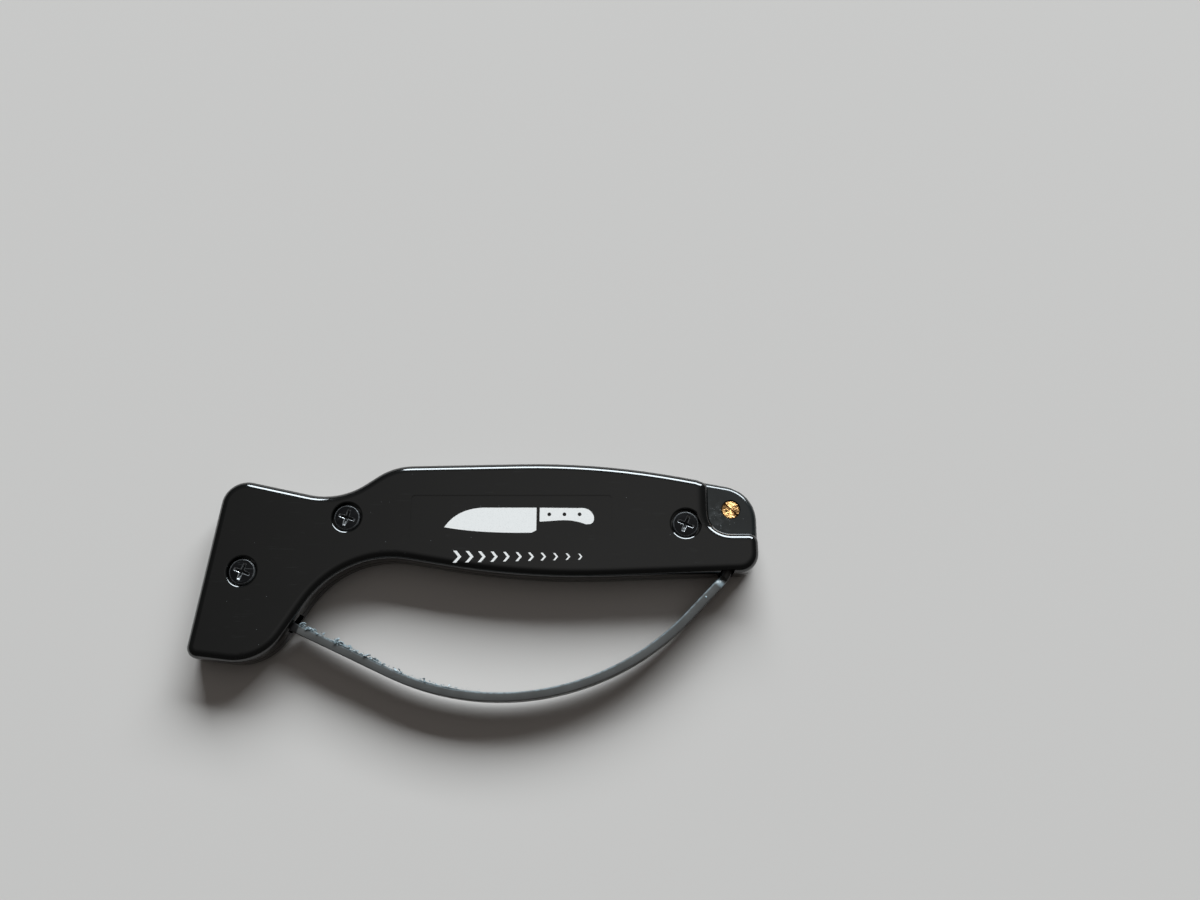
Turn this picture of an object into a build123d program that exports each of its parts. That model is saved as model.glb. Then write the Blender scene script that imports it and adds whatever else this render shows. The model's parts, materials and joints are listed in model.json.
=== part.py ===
from build123d import *
import os
from math import cos, hypot, radians, sin, tan

# Pull-through knife sharpener lying on its rear face, millimetres, front face up.
# X runs along the handle to the nose, Y up the handle away from the guard, Z out of the front face.

os.makedirs("parts", exist_ok=True)

# Handle as a whole
BODY_LENGTH = 140.0
BODY_THICKNESS = 9.5
EDGE_ROUND = 2.2
SIDE_WALL = 1.8
FACE_WALL = 1.5
SEAM_CHAMFER = 0.2
RIM_CHAMFER = 0.3
ROUND_ROOM = 0.98

# Corners of the outline: distance in from the pommel end or the nose end, height, round
POMMEL_TOP_IN, POMMEL_TOP_Y, POMMEL_TOP_ROUND = 5.6, 26.2, 6.3
NECK_IN, NECK_Y, NECK_ROUND = 34.5, 19.9, 18.0
SHOULDER_IN, SHOULDER_Y, SHOULDER_ROUND = 47.7, 29.05, 16.0
CROWN_IN, CROWN_Y, CROWN_ROUND = 39.4, 30.1, 200.0
NOSE_TOP_Y, NOSE_ROUND = 22.65, 9.0
NOSE_HEEL_Y, NOSE_HEEL_ROUND = 1.75, 5.0
BELLY_IN, BELLY_Y, BELLY_ROUND = 57.6, -0.34, 200.0
ARCH_IN, ARCH_Y, ARCH_ROUND = 36.6, 7.3, 24.0
BALL_IN, BALL_Y, BALL_ROUND = 18.5, -21.4, 13.5
TOE_IN, TOE_Y, TOE_ROUND = -0.32, -19.1, 2.8

# Stepped corner at the nose, where the cutter block shows
STEP_IN = 13.2
STEP_Y = 11.6
STEP_ROUND = 6.6
STEP_EDGE_ROUND = 2.4
SEAT_WALL = 2.0
FIT_GAP = 0.15

# Screws that hold the two shells
SCREW_HEAD_RADIUS = 3.3
SCREW_HEAD_HEIGHT = 2.2
SCREW_HEAD_BEVEL = 0.8
SCREW_SHANK_RADIUS = 1.45
SCREW_CLEARANCE = 0.2
THREAD_CLEARANCE = 0.05
CROSS_LENGTH = 4.3
CROSS_WIDTH = 0.9
CROSS_DEPTH = 1.1
RECESS_RADIUS = 3.8
RECESS_DEPTH = 2.6
RECESS_WALL = 1.2
BOSS_RADIUS = 3.6
BOSS_FLOOR = 1.2
NECK_SCREW_IN, NECK_SCREW_Y = 36.9, 15.4
POMMEL_SCREW_IN, POMMEL_SCREW_Y = 11.9, 1.7
NOSE_SCREW_IN, NOSE_SCREW_Y = 18.1, 13.8

# Pins that line the shells up
PIN_RADIUS = 1.1
PIN_HEIGHT = 1.8
PIN_CLEARANCE = 0.1
PIN_BOSS_RADIUS = 2.4
POMMEL_PIN_IN, POMMEL_PIN_Y = 12.0, 16.5
GRIP_PIN_IN, GRIP_PIN_Y = 30.0, 20.5

# Ribs inside the shells
RIB_THICKNESS = 1.2
RIB_DROP = 0.3
GRIP_RIB_FIRST_IN = 82.0
GRIP_RIB_PITCH = 13.0
GRIP_RIB_COUNT = 5
SPINE_Y = 15.0
SPINE_START_IN = 50.0
SPINE_END_IN = 22.0

# Shallow panel on the front face
PANEL_LENGTH = 50.5
PANEL_HEIGHT = 11.5
PANEL_DEPTH = 0.15
PANEL_ROUND = 1.0
PANEL_IN, PANEL_Y = 61.8, 15.3

# Finger guard
GUARD_THICKNESS = 2.2
GUARD_WIDTH = 6.0
GUARD_EDGE_BEVEL = 0.25
GUARD_RUN_SLOPE = 24.65
GUARD_RUN_LENGTH = 26.55
GUARD_BOW_END_IN, GUARD_BOW_END_Y = 17.35, -8.65
GUARD_RISE_LENGTH = 11.6
GUARD_SWING = 1.0
TONGUE_DROP = 22.2
TONGUE_LENGTH = 9.5
TONGUE_WIDTH = 3.4
TONGUE_PLAY = 0.45
SHOULDER_GAP = 1.95
TAIL_START = 2.5
TAIL_ROUND = 4.0
TAIL_SLOPE = 57.0
EYE_RADIUS = 3.1
PIVOT_IN, PIVOT_Y = 8.0, 7.0
POST_RADIUS = 1.6
POST_CLEARANCE = 0.05
MOUTH_PLAY = 0.45
MOUTH_LIP = 0.6

# Cutter block
BLOCK_EDGE_ROUND = 1.6
BLOCK_UNDERLAP = 0.8
TOP_LUG_LENGTH = 4.2
TOP_LUG_HEIGHT = 6.0
SIDE_LUG_LENGTH = 4.4
SIDE_LUG_HEIGHT = 4.2
CUT_DIRECTION = 48.0
KNIFE_SLOT_WIDTH = 3.4
KNIFE_SLOT_FLOOR = 2.6
EDGE_GROOVE_WIDTH = 1.2
EDGE_GROOVE_FLOOR = 1.75

# Carbide plates
PLATE_LENGTH = 7.8
PLATE_WIDTH = 2.6
PLATE_THICKNESS = 1.2
PLATE_TILT = 15.0
PLATE_SIDE_GAP = 1.8
PLATE_REACH = 1.7
PLATE_CLEARANCE = 0.05
VEE_ROOT = 1.9

# Brass clamp screw and nut
CLAMP_IN, CLAMP_Y = 6.5, 17.8
CLAMP_HEAD_RADIUS = 2.3
CLAMP_HEAD_HEIGHT = 1.1
CLAMP_HEAD_SINK = 0.2
CLAMP_HEAD_CHAMFER = 0.15
CLAMP_HEAD_CLEARANCE = 0.15
CLAMP_SHANK_RADIUS = 1.25
CLAMP_SHANK_CLEARANCE = 0.1
CLAMP_TIP_SINK = 0.2
DRIVER_SLOT_WIDTH = 0.6
DRIVER_SLOT_DEPTH = 0.6
DRIVER_SLOT_ANGLE = -45.0
NUT_FLATS = 5.0
NUT_THICKNESS = 1.3
NUT_CLEARANCE = 0.05

# Places worked out from the sizes above
POMMEL_X = -BODY_LENGTH / 2
NOSE_X = BODY_LENGTH / 2
SEAM_Z = BODY_THICKNESS / 2
CAVITY_LOW = FACE_WALL
CAVITY_HIGH = BODY_THICKNESS - FACE_WALL
BLOCK_LOW = SEAT_WALL
BLOCK_HIGH = BODY_THICKNESS - SEAT_WALL
REACH = 2 * BODY_LENGTH
UP = (0, 0, 1)

toe = (POMMEL_X + TOE_IN, TOE_Y)
pommel_top = (POMMEL_X + POMMEL_TOP_IN, POMMEL_TOP_Y)
neck = (POMMEL_X + NECK_IN, NECK_Y)
shoulder = (POMMEL_X + SHOULDER_IN, SHOULDER_Y)
crown = (NOSE_X - CROWN_IN, CROWN_Y)
nose_top = (NOSE_X, NOSE_TOP_Y)
nose_heel = (NOSE_X, NOSE_HEEL_Y)
belly = (NOSE_X - BELLY_IN, BELLY_Y)
arch = (POMMEL_X + ARCH_IN, ARCH_Y)
ball = (POMMEL_X + BALL_IN, BALL_Y)
step_x = NOSE_X - STEP_IN
step_share = (step_x - crown[0]) / (nose_top[0] - crown[0])
step_top = (step_x, crown[1] + step_share * (nose_top[1] - crown[1]))
step_inner = (step_x, STEP_Y)
step_end = (NOSE_X, STEP_Y)

neck_screw_at = (POMMEL_X + NECK_SCREW_IN, NECK_SCREW_Y)
pommel_screw_at = (POMMEL_X + POMMEL_SCREW_IN, POMMEL_SCREW_Y)
nose_screw_at = (NOSE_X - NOSE_SCREW_IN, NOSE_SCREW_Y)
screw_places = [neck_screw_at, pommel_screw_at, nose_screw_at]
pin_places = [(POMMEL_X + POMMEL_PIN_IN, POMMEL_PIN_Y), (NOSE_X - GRIP_PIN_IN, GRIP_PIN_Y)]
pivot = (NOSE_X - PIVOT_IN, PIVOT_Y)
clamp_at = (NOSE_X - CLAMP_IN, CLAMP_Y)


def prism(face, low, high):
    """A flat face pushed up from one height to another."""
    return extrude(Pos(0, 0, low) * face, amount=high - low, dir=UP)


def peg(place, radius, low, high):
    """An upright cylinder at a place, from one height to another."""
    return Pos(place[0], place[1], low) * extrude(Circle(radius), amount=high - low, dir=UP)


def block(x_low, x_high, y_low, y_high, z_low, z_high):
    """A box given by its sides."""
    size = Box(x_high - x_low, y_high - y_low, z_high - z_low)
    return Pos((x_low + x_high) / 2, (y_low + y_high) / 2, (z_low + z_high) / 2) * size


def rounded_face(corners, rounds):
    """A closed outline with rounded corners. Rounds that share too short a run are drawn in to fit it."""
    count = len(corners)
    spots = [Vector(*corner) for corner in corners]
    runs = [spots[n] - spots[n - 1] for n in range(count)]
    turns = [radians(runs[n].get_angle(runs[(n + 1) % count])) for n in range(count)]
    taken = [rounds[n] * tan(turns[n] / 2) for n in range(count)]
    shares = [ROUND_ROOM * runs[n].length / (taken[n - 1] + taken[n]) for n in range(count)]
    fitted = [rounds[n] * min(1, shares[n], shares[(n + 1) % count]) for n in range(count)]
    return make_face(FilletPolyline(*corners, radius=fitted, close=True))


# Outline of the handle with the nose whole, and with the stepped corner taken off
back_corners = [pommel_top, neck, shoulder, crown]
back_rounds = [POMMEL_TOP_ROUND, NECK_ROUND, SHOULDER_ROUND, CROWN_ROUND]
under_corners = [nose_heel, belly, arch, ball, toe]
under_rounds = [NOSE_HEEL_ROUND, BELLY_ROUND, ARCH_ROUND, BALL_ROUND, TOE_ROUND]
step_corners = [step_top, step_inner, step_end]
step_rounds = [STEP_EDGE_ROUND, STEP_ROUND, STEP_EDGE_ROUND]
whole_corners = back_corners + [nose_top] + under_corners
whole_outline = rounded_face(whole_corners, back_rounds + [NOSE_ROUND] + under_rounds)
shell_corners = back_corners + step_corners + under_corners
shell_outline = rounded_face(shell_corners, back_rounds + step_rounds + under_rounds)
cavity_outline = offset(whole_outline, amount=-SIDE_WALL)

# Line of the guard: tongue in the pommel, straight run, bow, straight rise, then the hook up to the eye
wall_length = hypot(ball[0] - arch[0], ball[1] - arch[1])
wall_way = ((ball[0] - arch[0]) / wall_length, (ball[1] - arch[1]) / wall_length)
run_way = (cos(radians(GUARD_RUN_SLOPE)), -sin(radians(GUARD_RUN_SLOPE)))
root = (arch[0] + TONGUE_DROP * wall_way[0], arch[1] + TONGUE_DROP * wall_way[1])


def along_run(distance):
    """A point on the guard's straight run, counted from the pommel wall."""
    return (root[0] + distance * run_way[0], root[1] + distance * run_way[1])


bow_end = (NOSE_X - GUARD_BOW_END_IN, GUARD_BOW_END_Y)
run_line = Line(along_run(SHOULDER_GAP), along_run(GUARD_RUN_LENGTH))
bow_line = TangentArc(along_run(GUARD_RUN_LENGTH), bow_end, tangent=run_way)
rise_way = bow_line % 1
entry = (bow_end[0] + GUARD_RISE_LENGTH * rise_way.X, bow_end[1] + GUARD_RISE_LENGTH * rise_way.Y)
rise_line = Line(bow_end, entry)
hook_line = TangentArc(entry, pivot, tangent=rise_way)
tongue_line = Line(along_run(-TONGUE_LENGTH), along_run(SHOULDER_GAP + GUARD_THICKNESS))
guard_low = SEAM_Z - GUARD_WIDTH / 2
guard_high = SEAM_Z + GUARD_WIDTH / 2
strip_path = Pos(0, 0, SEAM_Z) * Wire([run_line, bow_line, rise_line, hook_line])
strip_start = along_run(SHOULDER_GAP)
strip_origin = (strip_start[0], strip_start[1], SEAM_Z)
strip_plane = Plane(origin=strip_origin, x_dir=UP, z_dir=(run_way[0], run_way[1], 0))
strip_section = Rectangle(GUARD_WIDTH, GUARD_THICKNESS)
strip_section = chamfer(strip_section.vertices(), GUARD_EDGE_BEVEL)
strip = sweep(strip_plane * strip_section, path=strip_path)
tongue_low = SEAM_Z - TONGUE_WIDTH / 2
tongue_high = SEAM_Z + TONGUE_WIDTH / 2
tongue = prism(trace(tongue_line, line_width=GUARD_THICKNESS), tongue_low, tongue_high)
eye = peg(pivot, EYE_RADIUS, guard_low, guard_high)
eye_bore = peg(pivot, POST_RADIUS + POST_CLEARANCE, 0, BODY_THICKNESS)
finger_guard = strip + tongue + eye - eye_bore

# The front of the strip rolls down before the nose, and its tail stays low from there to the eye
tail_at = (entry[0] - TAIL_START * rise_way.X, entry[1] - TAIL_START * rise_way.Y, 0)
tail_plane = Plane(origin=tail_at, x_dir=(rise_way.X, rise_way.Y, 0), z_dir=(rise_way.Y, -rise_way.X, 0))
tail_roll = CenterArc((0, guard_high - TAIL_ROUND), TAIL_ROUND, 90, -TAIL_SLOPE)
tail_foot = tail_roll @ 1
over_tail = [tail_foot, (REACH, tail_foot.Y), (REACH, REACH), (0, REACH), (0, guard_high)]
tail_cut = make_face([tail_roll, Polyline(*over_tail)])
finger_guard = finger_guard - extrude(tail_plane * tail_cut, amount=REACH, both=True)

# Slot in the pommel wall that the tongue floats in, and mouth under the nose for the other end
swing_travel = radians(GUARD_SWING) * hypot(root[0] - pivot[0], root[1] - pivot[1])
slot_up = GUARD_THICKNESS / 2 + swing_travel + TONGUE_PLAY
slot_down = GUARD_THICKNESS / 2 + TONGUE_PLAY
slot_size = Box(slot_up + slot_down, 4 * SIDE_WALL, TONGUE_WIDTH + TONGUE_PLAY)
slot_plane = Plane(origin=(root[0], root[1], SEAM_Z), x_dir=(wall_way[0], wall_way[1], 0), z_dir=UP)
tongue_slot = slot_plane * Pos((slot_down - slot_up) / 2, 0, 0) * slot_size
mouth_width = GUARD_THICKNESS + 2 * MOUTH_PLAY
mouth_face = trace(hook_line, line_width=mouth_width)
mouth = prism(mouth_face, CAVITY_LOW, CAVITY_HIGH)
mouth_notch = prism(mouth_face - cavity_outline, SEAM_Z, BODY_THICKNESS - MOUTH_LIP)

# Ribs: cross ribs in the grip, a spine along it, and a cross in the pommel
first_rib = NOSE_X - GRIP_RIB_FIRST_IN - RIB_THICKNESS / 2
rib_lefts = [first_rib + GRIP_RIB_PITCH * n for n in range(GRIP_RIB_COUNT)]
rib_boxes = [block(x, x + RIB_THICKNESS, -REACH, REACH, 0, BODY_THICKNESS) for x in rib_lefts]
spine_low = SPINE_Y - RIB_THICKNESS / 2
spine_high = SPINE_Y + RIB_THICKNESS / 2
spine_start = POMMEL_X + SPINE_START_IN
spine_end = NOSE_X - SPINE_END_IN
rib_boxes.append(block(spine_start, spine_end, spine_low, spine_high, 0, BODY_THICKNESS))
post_low = pommel_screw_at[0] - RIB_THICKNESS / 2
post_high = pommel_screw_at[0] + RIB_THICKNESS / 2
rib_boxes.append(block(post_low, post_high, pommel_screw_at[1], REACH, 0, BODY_THICKNESS))
bar_low = pommel_screw_at[1] - RIB_THICKNESS / 2
bar_high = pommel_screw_at[1] + RIB_THICKNESS / 2
rib_boxes.append(block(-REACH, pommel_screw_at[0], bar_low, bar_high, 0, BODY_THICKNESS))
ribs = Part() + rib_boxes

# Cutter block: what shows at the corner, a narrow rim under the shells, and lugs behind the side walls
bared = whole_outline - offset(shell_outline, amount=FIT_GAP)
inside = offset(whole_outline, amount=-SIDE_WALL - FIT_GAP)
nose_window = Pos(NOSE_X, CLAMP_Y) * Rectangle(4 * STEP_IN, 4 * STEP_IN)
rim = inside & nose_window
rim = rim - offset(shell_outline, amount=-BLOCK_UNDERLAP)
top_lug_mid = (step_x - TOP_LUG_LENGTH / 2 + STEP_EDGE_ROUND / 2, step_top[1] - TOP_LUG_HEIGHT / 2)
top_lug = Pos(*top_lug_mid) * Rectangle(TOP_LUG_LENGTH + STEP_EDGE_ROUND, TOP_LUG_HEIGHT)
side_lug_mid = (NOSE_X - SIDE_LUG_LENGTH / 2, STEP_Y - SIDE_LUG_HEIGHT / 2 + STEP_EDGE_ROUND / 2)
side_lug = Pos(*side_lug_mid) * Rectangle(SIDE_LUG_LENGTH, SIDE_LUG_HEIGHT + STEP_EDGE_ROUND)
lugs = (top_lug + side_lug) & inside
nose_boss_clear = Pos(*nose_screw_at) * Circle(RECESS_RADIUS + RECESS_WALL + FIT_GAP)
hidden = rim + lugs - nose_boss_clear
slab = prism(whole_outline, BLOCK_LOW, BLOCK_HIGH)
slab_rims = slab.edges().group_by(Axis.Z)
slab = fillet(slab_rims[0] + slab_rims[-1], BLOCK_EDGE_ROUND)
cutter_block = slab & prism(bared, 0, BODY_THICKNESS)
cutter_block = cutter_block + prism(hidden, BLOCK_LOW, BLOCK_HIGH)

# Knife slot, plates and clamp, laid out on a plane at the clamp screw that points out of the corner
cut_way = (cos(radians(CUT_DIRECTION)), sin(radians(CUT_DIRECTION)), 0)
cut_plane = Plane(origin=(clamp_at[0], clamp_at[1], SEAM_Z), x_dir=cut_way, z_dir=UP)
slot_half = KNIFE_SLOT_WIDTH / 2
knife_slot = cut_plane * block(KNIFE_SLOT_FLOOR, REACH, -REACH, REACH, -slot_half, slot_half)
groove_half = EDGE_GROOVE_WIDTH / 2
edge_groove = cut_plane * block(EDGE_GROOVE_FLOOR, REACH, -REACH, REACH, -groove_half, groove_half)


def plate(side, clearance, extra_reach):
    """One carbide plate, or with clearance the pocket that it slides into."""
    long = PLATE_LENGTH + extra_reach + clearance
    middle = PLATE_REACH + extra_reach - long / 2
    body = Box(long, PLATE_WIDTH + 2 * clearance, PLATE_THICKNESS + 2 * clearance)
    tilted = Rot(0, -side * PLATE_TILT, 0) * Pos(middle, 0, side * PLATE_THICKNESS / 2) * body
    return cut_plane * Pos(VEE_ROOT, side * (PLATE_SIDE_GAP + PLATE_WIDTH / 2), 0) * tilted


carbide_upper = plate(1, 0, 0)
carbide_lower = plate(-1, 0, 0)
clamp_seat = BLOCK_HIGH - CLAMP_HEAD_SINK - CLAMP_HEAD_HEIGHT
nut_top = BLOCK_LOW + NUT_THICKNESS
nut_hex = RegularPolygon(NUT_FLATS / 2, 6, major_radius=False)
nut_pocket_hex = RegularPolygon(NUT_FLATS / 2 + NUT_CLEARANCE, 6, major_radius=False)
nut_place = Pos(clamp_at[0], clamp_at[1], 0) * Rot(0, 0, CUT_DIRECTION)
plate_pockets = [plate(side, PLATE_CLEARANCE, PLATE_LENGTH) for side in (1, -1)]
cutter_block = cutter_block - [knife_slot, edge_groove] - plate_pockets
shank_hole = peg(clamp_at, CLAMP_SHANK_RADIUS + CLAMP_SHANK_CLEARANCE, 0, BODY_THICKNESS)
head_pocket = peg(clamp_at, CLAMP_HEAD_RADIUS + CLAMP_HEAD_CLEARANCE, clamp_seat, BODY_THICKNESS)
cutter_block = cutter_block - [shank_hole, head_pocket]
cutter_block = cutter_block - nut_place * prism(nut_pocket_hex, 0, nut_top)

nut_bore = peg(clamp_at, CLAMP_SHANK_RADIUS + NUT_CLEARANCE, 0, BODY_THICKNESS)
clamp_nut = nut_place * prism(nut_hex, BLOCK_LOW, nut_top) - nut_bore
clamp_head = peg(clamp_at, CLAMP_HEAD_RADIUS, clamp_seat, clamp_seat + CLAMP_HEAD_HEIGHT)
clamp_head = chamfer(clamp_head.edges().group_by(Axis.Z)[-1], CLAMP_HEAD_CHAMFER)
driver_slot = Box(4 * CLAMP_HEAD_RADIUS, DRIVER_SLOT_WIDTH, 2 * DRIVER_SLOT_DEPTH)
driver_place = Pos(clamp_at[0], clamp_at[1], clamp_seat + CLAMP_HEAD_HEIGHT)
clamp_head = clamp_head - driver_place * Rot(0, 0, DRIVER_SLOT_ANGLE) * driver_slot
clamp_screw = clamp_head + peg(clamp_at, CLAMP_SHANK_RADIUS, BLOCK_LOW + CLAMP_TIP_SINK, clamp_seat)

# Rear shell: tray with bosses, ribs, line-up pins and the post for the guard
rear_shell = prism(shell_outline, 0, SEAM_Z)
rear_shell = fillet(rear_shell.edges().group_by(Axis.Z)[0], EDGE_ROUND)
rear_shell = chamfer(rear_shell.edges().group_by(Axis.Z)[-1], SEAM_CHAMFER)
rear_solid = rear_shell
rear_shell = rear_shell - prism(cavity_outline, CAVITY_LOW, SEAM_Z + SEAM_CHAMFER)
seat_face = (offset(rim + lugs, amount=FIT_GAP) & cavity_outline) & shell_outline
rear_shell = rear_shell + prism(seat_face, CAVITY_LOW - FIT_GAP, BLOCK_LOW)
rear_shell = rear_shell + (ribs & prism(cavity_outline, CAVITY_LOW, SEAM_Z - RIB_DROP))
for place in screw_places:
    rear_shell = rear_shell + (peg(place, BOSS_RADIUS, CAVITY_LOW - FIT_GAP, SEAM_Z) & rear_solid)
    rear_shell = rear_shell - peg(place, SCREW_SHANK_RADIUS + THREAD_CLEARANCE, BOSS_FLOOR, BODY_THICKNESS)
for place in pin_places:
    rear_shell = rear_shell + peg(place, PIN_BOSS_RADIUS, CAVITY_LOW - FIT_GAP, SEAM_Z)
    rear_shell = rear_shell + peg(place, PIN_RADIUS, SEAM_Z - FIT_GAP, SEAM_Z + PIN_HEIGHT)
rear_shell = rear_shell + peg(pivot, POST_RADIUS, CAVITY_LOW - FIT_GAP, CAVITY_HIGH)
rear_shell = rear_shell - [tongue_slot, mouth - peg(pivot, POST_RADIUS, 0, BODY_THICKNESS)]

# Front shell: the same tray turned over, with screw recesses, pin sockets and the shallow panel
front_shell = prism(shell_outline, SEAM_Z, BODY_THICKNESS)
front_shell = fillet(front_shell.edges().group_by(Axis.Z)[-1], EDGE_ROUND)
front_shell = chamfer(front_shell.edges().group_by(Axis.Z)[0], SEAM_CHAMFER)
front_solid = front_shell
front_shell = front_shell - prism(cavity_outline, SEAM_Z - SEAM_CHAMFER, CAVITY_HIGH)
front_shell = front_shell + prism(seat_face, BLOCK_HIGH, CAVITY_HIGH + FIT_GAP)
front_shell = front_shell + (ribs & prism(cavity_outline, SEAM_Z + RIB_DROP, CAVITY_HIGH))
screw_seat = BODY_THICKNESS - RECESS_DEPTH
for place in screw_places:
    recess_boss = peg(place, RECESS_RADIUS + RECESS_WALL, SEAM_Z, CAVITY_HIGH + FIT_GAP)
    front_shell = front_shell + (recess_boss & front_solid)
    front_shell = front_shell - peg(place, SCREW_SHANK_RADIUS + SCREW_CLEARANCE, 0, BODY_THICKNESS)
    recess = peg(place, RECESS_RADIUS, screw_seat, BODY_THICKNESS)
    rim_cone = Cone(RECESS_RADIUS, RECESS_RADIUS + 2 * RIM_CHAMFER, 2 * RIM_CHAMFER)
    front_shell = front_shell - recess - Pos(place[0], place[1], BODY_THICKNESS) * rim_cone
for place in pin_places:
    front_shell = front_shell + peg(place, PIN_BOSS_RADIUS, SEAM_Z, CAVITY_HIGH + FIT_GAP)
    socket_top = SEAM_Z + PIN_HEIGHT + PIN_CLEARANCE
    front_shell = front_shell - peg(place, PIN_RADIUS + PIN_CLEARANCE, SEAM_Z, socket_top)
front_shell = front_shell - [tongue_slot, mouth, mouth_notch]
panel_face = Pos(NOSE_X - PANEL_IN, PANEL_Y) * RectangleRounded(PANEL_LENGTH, PANEL_HEIGHT, PANEL_ROUND)
front_shell = front_shell - prism(panel_face, BODY_THICKNESS - PANEL_DEPTH, BODY_THICKNESS)

# One case screw, used three times
screw_head = extrude(Circle(SCREW_HEAD_RADIUS), amount=SCREW_HEAD_HEIGHT, dir=UP)
screw_head = chamfer(screw_head.edges().group_by(Axis.Z)[-1], SCREW_HEAD_BEVEL)
cross_bar = Box(CROSS_LENGTH, CROSS_WIDTH, 2 * CROSS_DEPTH)
cross_recess = cross_bar + Rot(0, 0, 90) * cross_bar
screw_head = screw_head - Pos(0, 0, SCREW_HEAD_HEIGHT) * cross_recess
shank_length = screw_seat - BOSS_FLOOR - SCREW_CLEARANCE
case_screw = screw_head + peg((0, 0), SCREW_SHANK_RADIUS, -shank_length, 0)


def screw_at(place):
    """The case screw set down in its recess."""
    return Pos(place[0], place[1], screw_seat) * case_screw


pieces = {
    "rear_shell": rear_shell,
    "front_shell": front_shell,
    "finger_guard": finger_guard,
    "cutter_block": cutter_block,
    "carbide_upper": carbide_upper,
    "carbide_lower": carbide_lower,
    "clamp_screw": clamp_screw,
    "clamp_nut": clamp_nut,
    "neck_screw": screw_at(neck_screw_at),
    "pommel_screw": screw_at(pommel_screw_at),
    "nose_screw": screw_at(nose_screw_at),
}
for node, shape in pieces.items():
    export_step(shape, "parts/" + node + ".step")
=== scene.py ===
import json
import math

import bmesh
import bpy
from bpy.props import FloatProperty, FloatVectorProperty, IntProperty, PointerProperty
from mathutils import Matrix, Vector


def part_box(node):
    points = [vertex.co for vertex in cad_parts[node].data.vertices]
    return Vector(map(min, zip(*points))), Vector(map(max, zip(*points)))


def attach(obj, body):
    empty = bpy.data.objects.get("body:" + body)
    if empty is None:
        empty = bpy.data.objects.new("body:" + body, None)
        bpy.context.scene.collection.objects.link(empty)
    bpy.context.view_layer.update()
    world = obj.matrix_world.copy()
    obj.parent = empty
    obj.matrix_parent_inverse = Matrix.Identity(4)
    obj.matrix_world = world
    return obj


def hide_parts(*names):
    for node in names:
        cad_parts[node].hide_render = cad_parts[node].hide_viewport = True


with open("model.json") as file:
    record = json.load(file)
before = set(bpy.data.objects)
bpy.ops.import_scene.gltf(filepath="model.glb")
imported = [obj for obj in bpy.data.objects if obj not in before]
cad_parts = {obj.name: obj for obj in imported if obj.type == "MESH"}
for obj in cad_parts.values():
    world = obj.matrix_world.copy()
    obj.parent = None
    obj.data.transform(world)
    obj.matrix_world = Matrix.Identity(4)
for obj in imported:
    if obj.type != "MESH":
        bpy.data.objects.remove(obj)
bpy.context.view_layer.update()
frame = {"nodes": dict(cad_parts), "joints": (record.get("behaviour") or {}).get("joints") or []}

bl_info = {
    "name": "Hand Knife Sharpener",
    "version": (1, 0, 0),
    "blender": (4, 5, 0),
    "location": "3D View > Sidebar > Sharpener",
    "description": "Dresses a pull-through knife sharpener: shells, bowed guard, screws, carbide and print",
    "category": "Object",
}

MM = 0.001
OVERCUT = 0.01 * MM  # how far a cutter stands out of the face that it cuts
WELD = 0.002 * MM  # points closer than this are one point
PLATE_EDGE = 0.06 * MM  # round on the edges of the carbide plates
CASE_SCREWS = ("neck_screw", "pommel_screw", "nose_screw")
GUARD_POST = next(j["pos_m"] for j in frame["joints"] if j["name"] == "guard_swing")
CLAMP_AXIS = next(j["pos_m"] for j in frame["joints"] if j["name"] == "clamp_screw_turn")
FACE_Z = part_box("front_shell")[1].z
GUARD_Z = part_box("finger_guard")[1].z


# Settings that a user would change


def length(name, description, default):
    """A size in metres."""
    return FloatProperty(name=name, description=description, default=default, unit="LENGTH", precision=5)


def turn(name, description, degrees):
    """An angle, given in degrees."""
    return FloatProperty(name=name, description=description, default=math.radians(degrees), subtype="ANGLE")


def share(name, description, default):
    """A number from 0 to 1."""
    return FloatProperty(name=name, description=description, default=default, min=0, max=1, subtype="FACTOR")


def amount(name, description, default, unit="NONE"):
    """A plain number."""
    return FloatProperty(name=name, description=description, default=default, unit=unit)


def tint(name, description, default):
    """A colour in linear light."""
    return FloatVectorProperty(
        name=name, description=description, default=default, min=0, max=1, subtype="COLOR"
    )


def spot(name, description, default):
    """A point in metres."""
    return FloatVectorProperty(
        name=name, description=description, default=default, subtype="XYZ_LENGTH", precision=5
    )


class SharpenerFinish(bpy.types.PropertyGroup):
    """Colours and gloss of the materials"""

    shell: tint("Shell", "Moulded gloss black of both shells", (0.0034, 0.0034, 0.0033))
    shell_gloss: share("Shell roughness", "Roughness of the polished shells", 0.085)
    block: tint("Block", "Blue black of the cutter block", (0.0105, 0.0122, 0.0124))
    guard: tint("Guard", "Satin grey of the finger guard", (0.068, 0.066, 0.063))
    # Also the colour of the painted highlight across the guard's bend and of the pale inner edge of the
    # guard.
    flash: tint("Flash", "Torn moulding flash on the guard's edge", (0.24, 0.295, 0.32))
    brass: tint("Brass", "Turned brass of the clamp screw and its nut", (0.67, 0.37, 0.15))
    tarnish: tint("Tarnish", "Brown film in the brass screw's hollows", (0.12, 0.06, 0.018))
    # Also the near black of the painted shade on the guard's tongue.
    oxide: tint("Black oxide", "Blackened steel of the case screws", (0.0035, 0.0035, 0.004))
    steel: tint("Bare steel", "Steel where the driver has rubbed the black off", (0.5, 0.5, 0.505))
    carbide: tint("Carbide", "Ground tungsten carbide", (0.34, 0.34, 0.35))
    ink: tint("Ink", "White printing ink", (0.85, 0.81, 0.78))
    dust: tint("Dust", "Pale specks of dust", (0.3, 0.31, 0.31))


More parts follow.
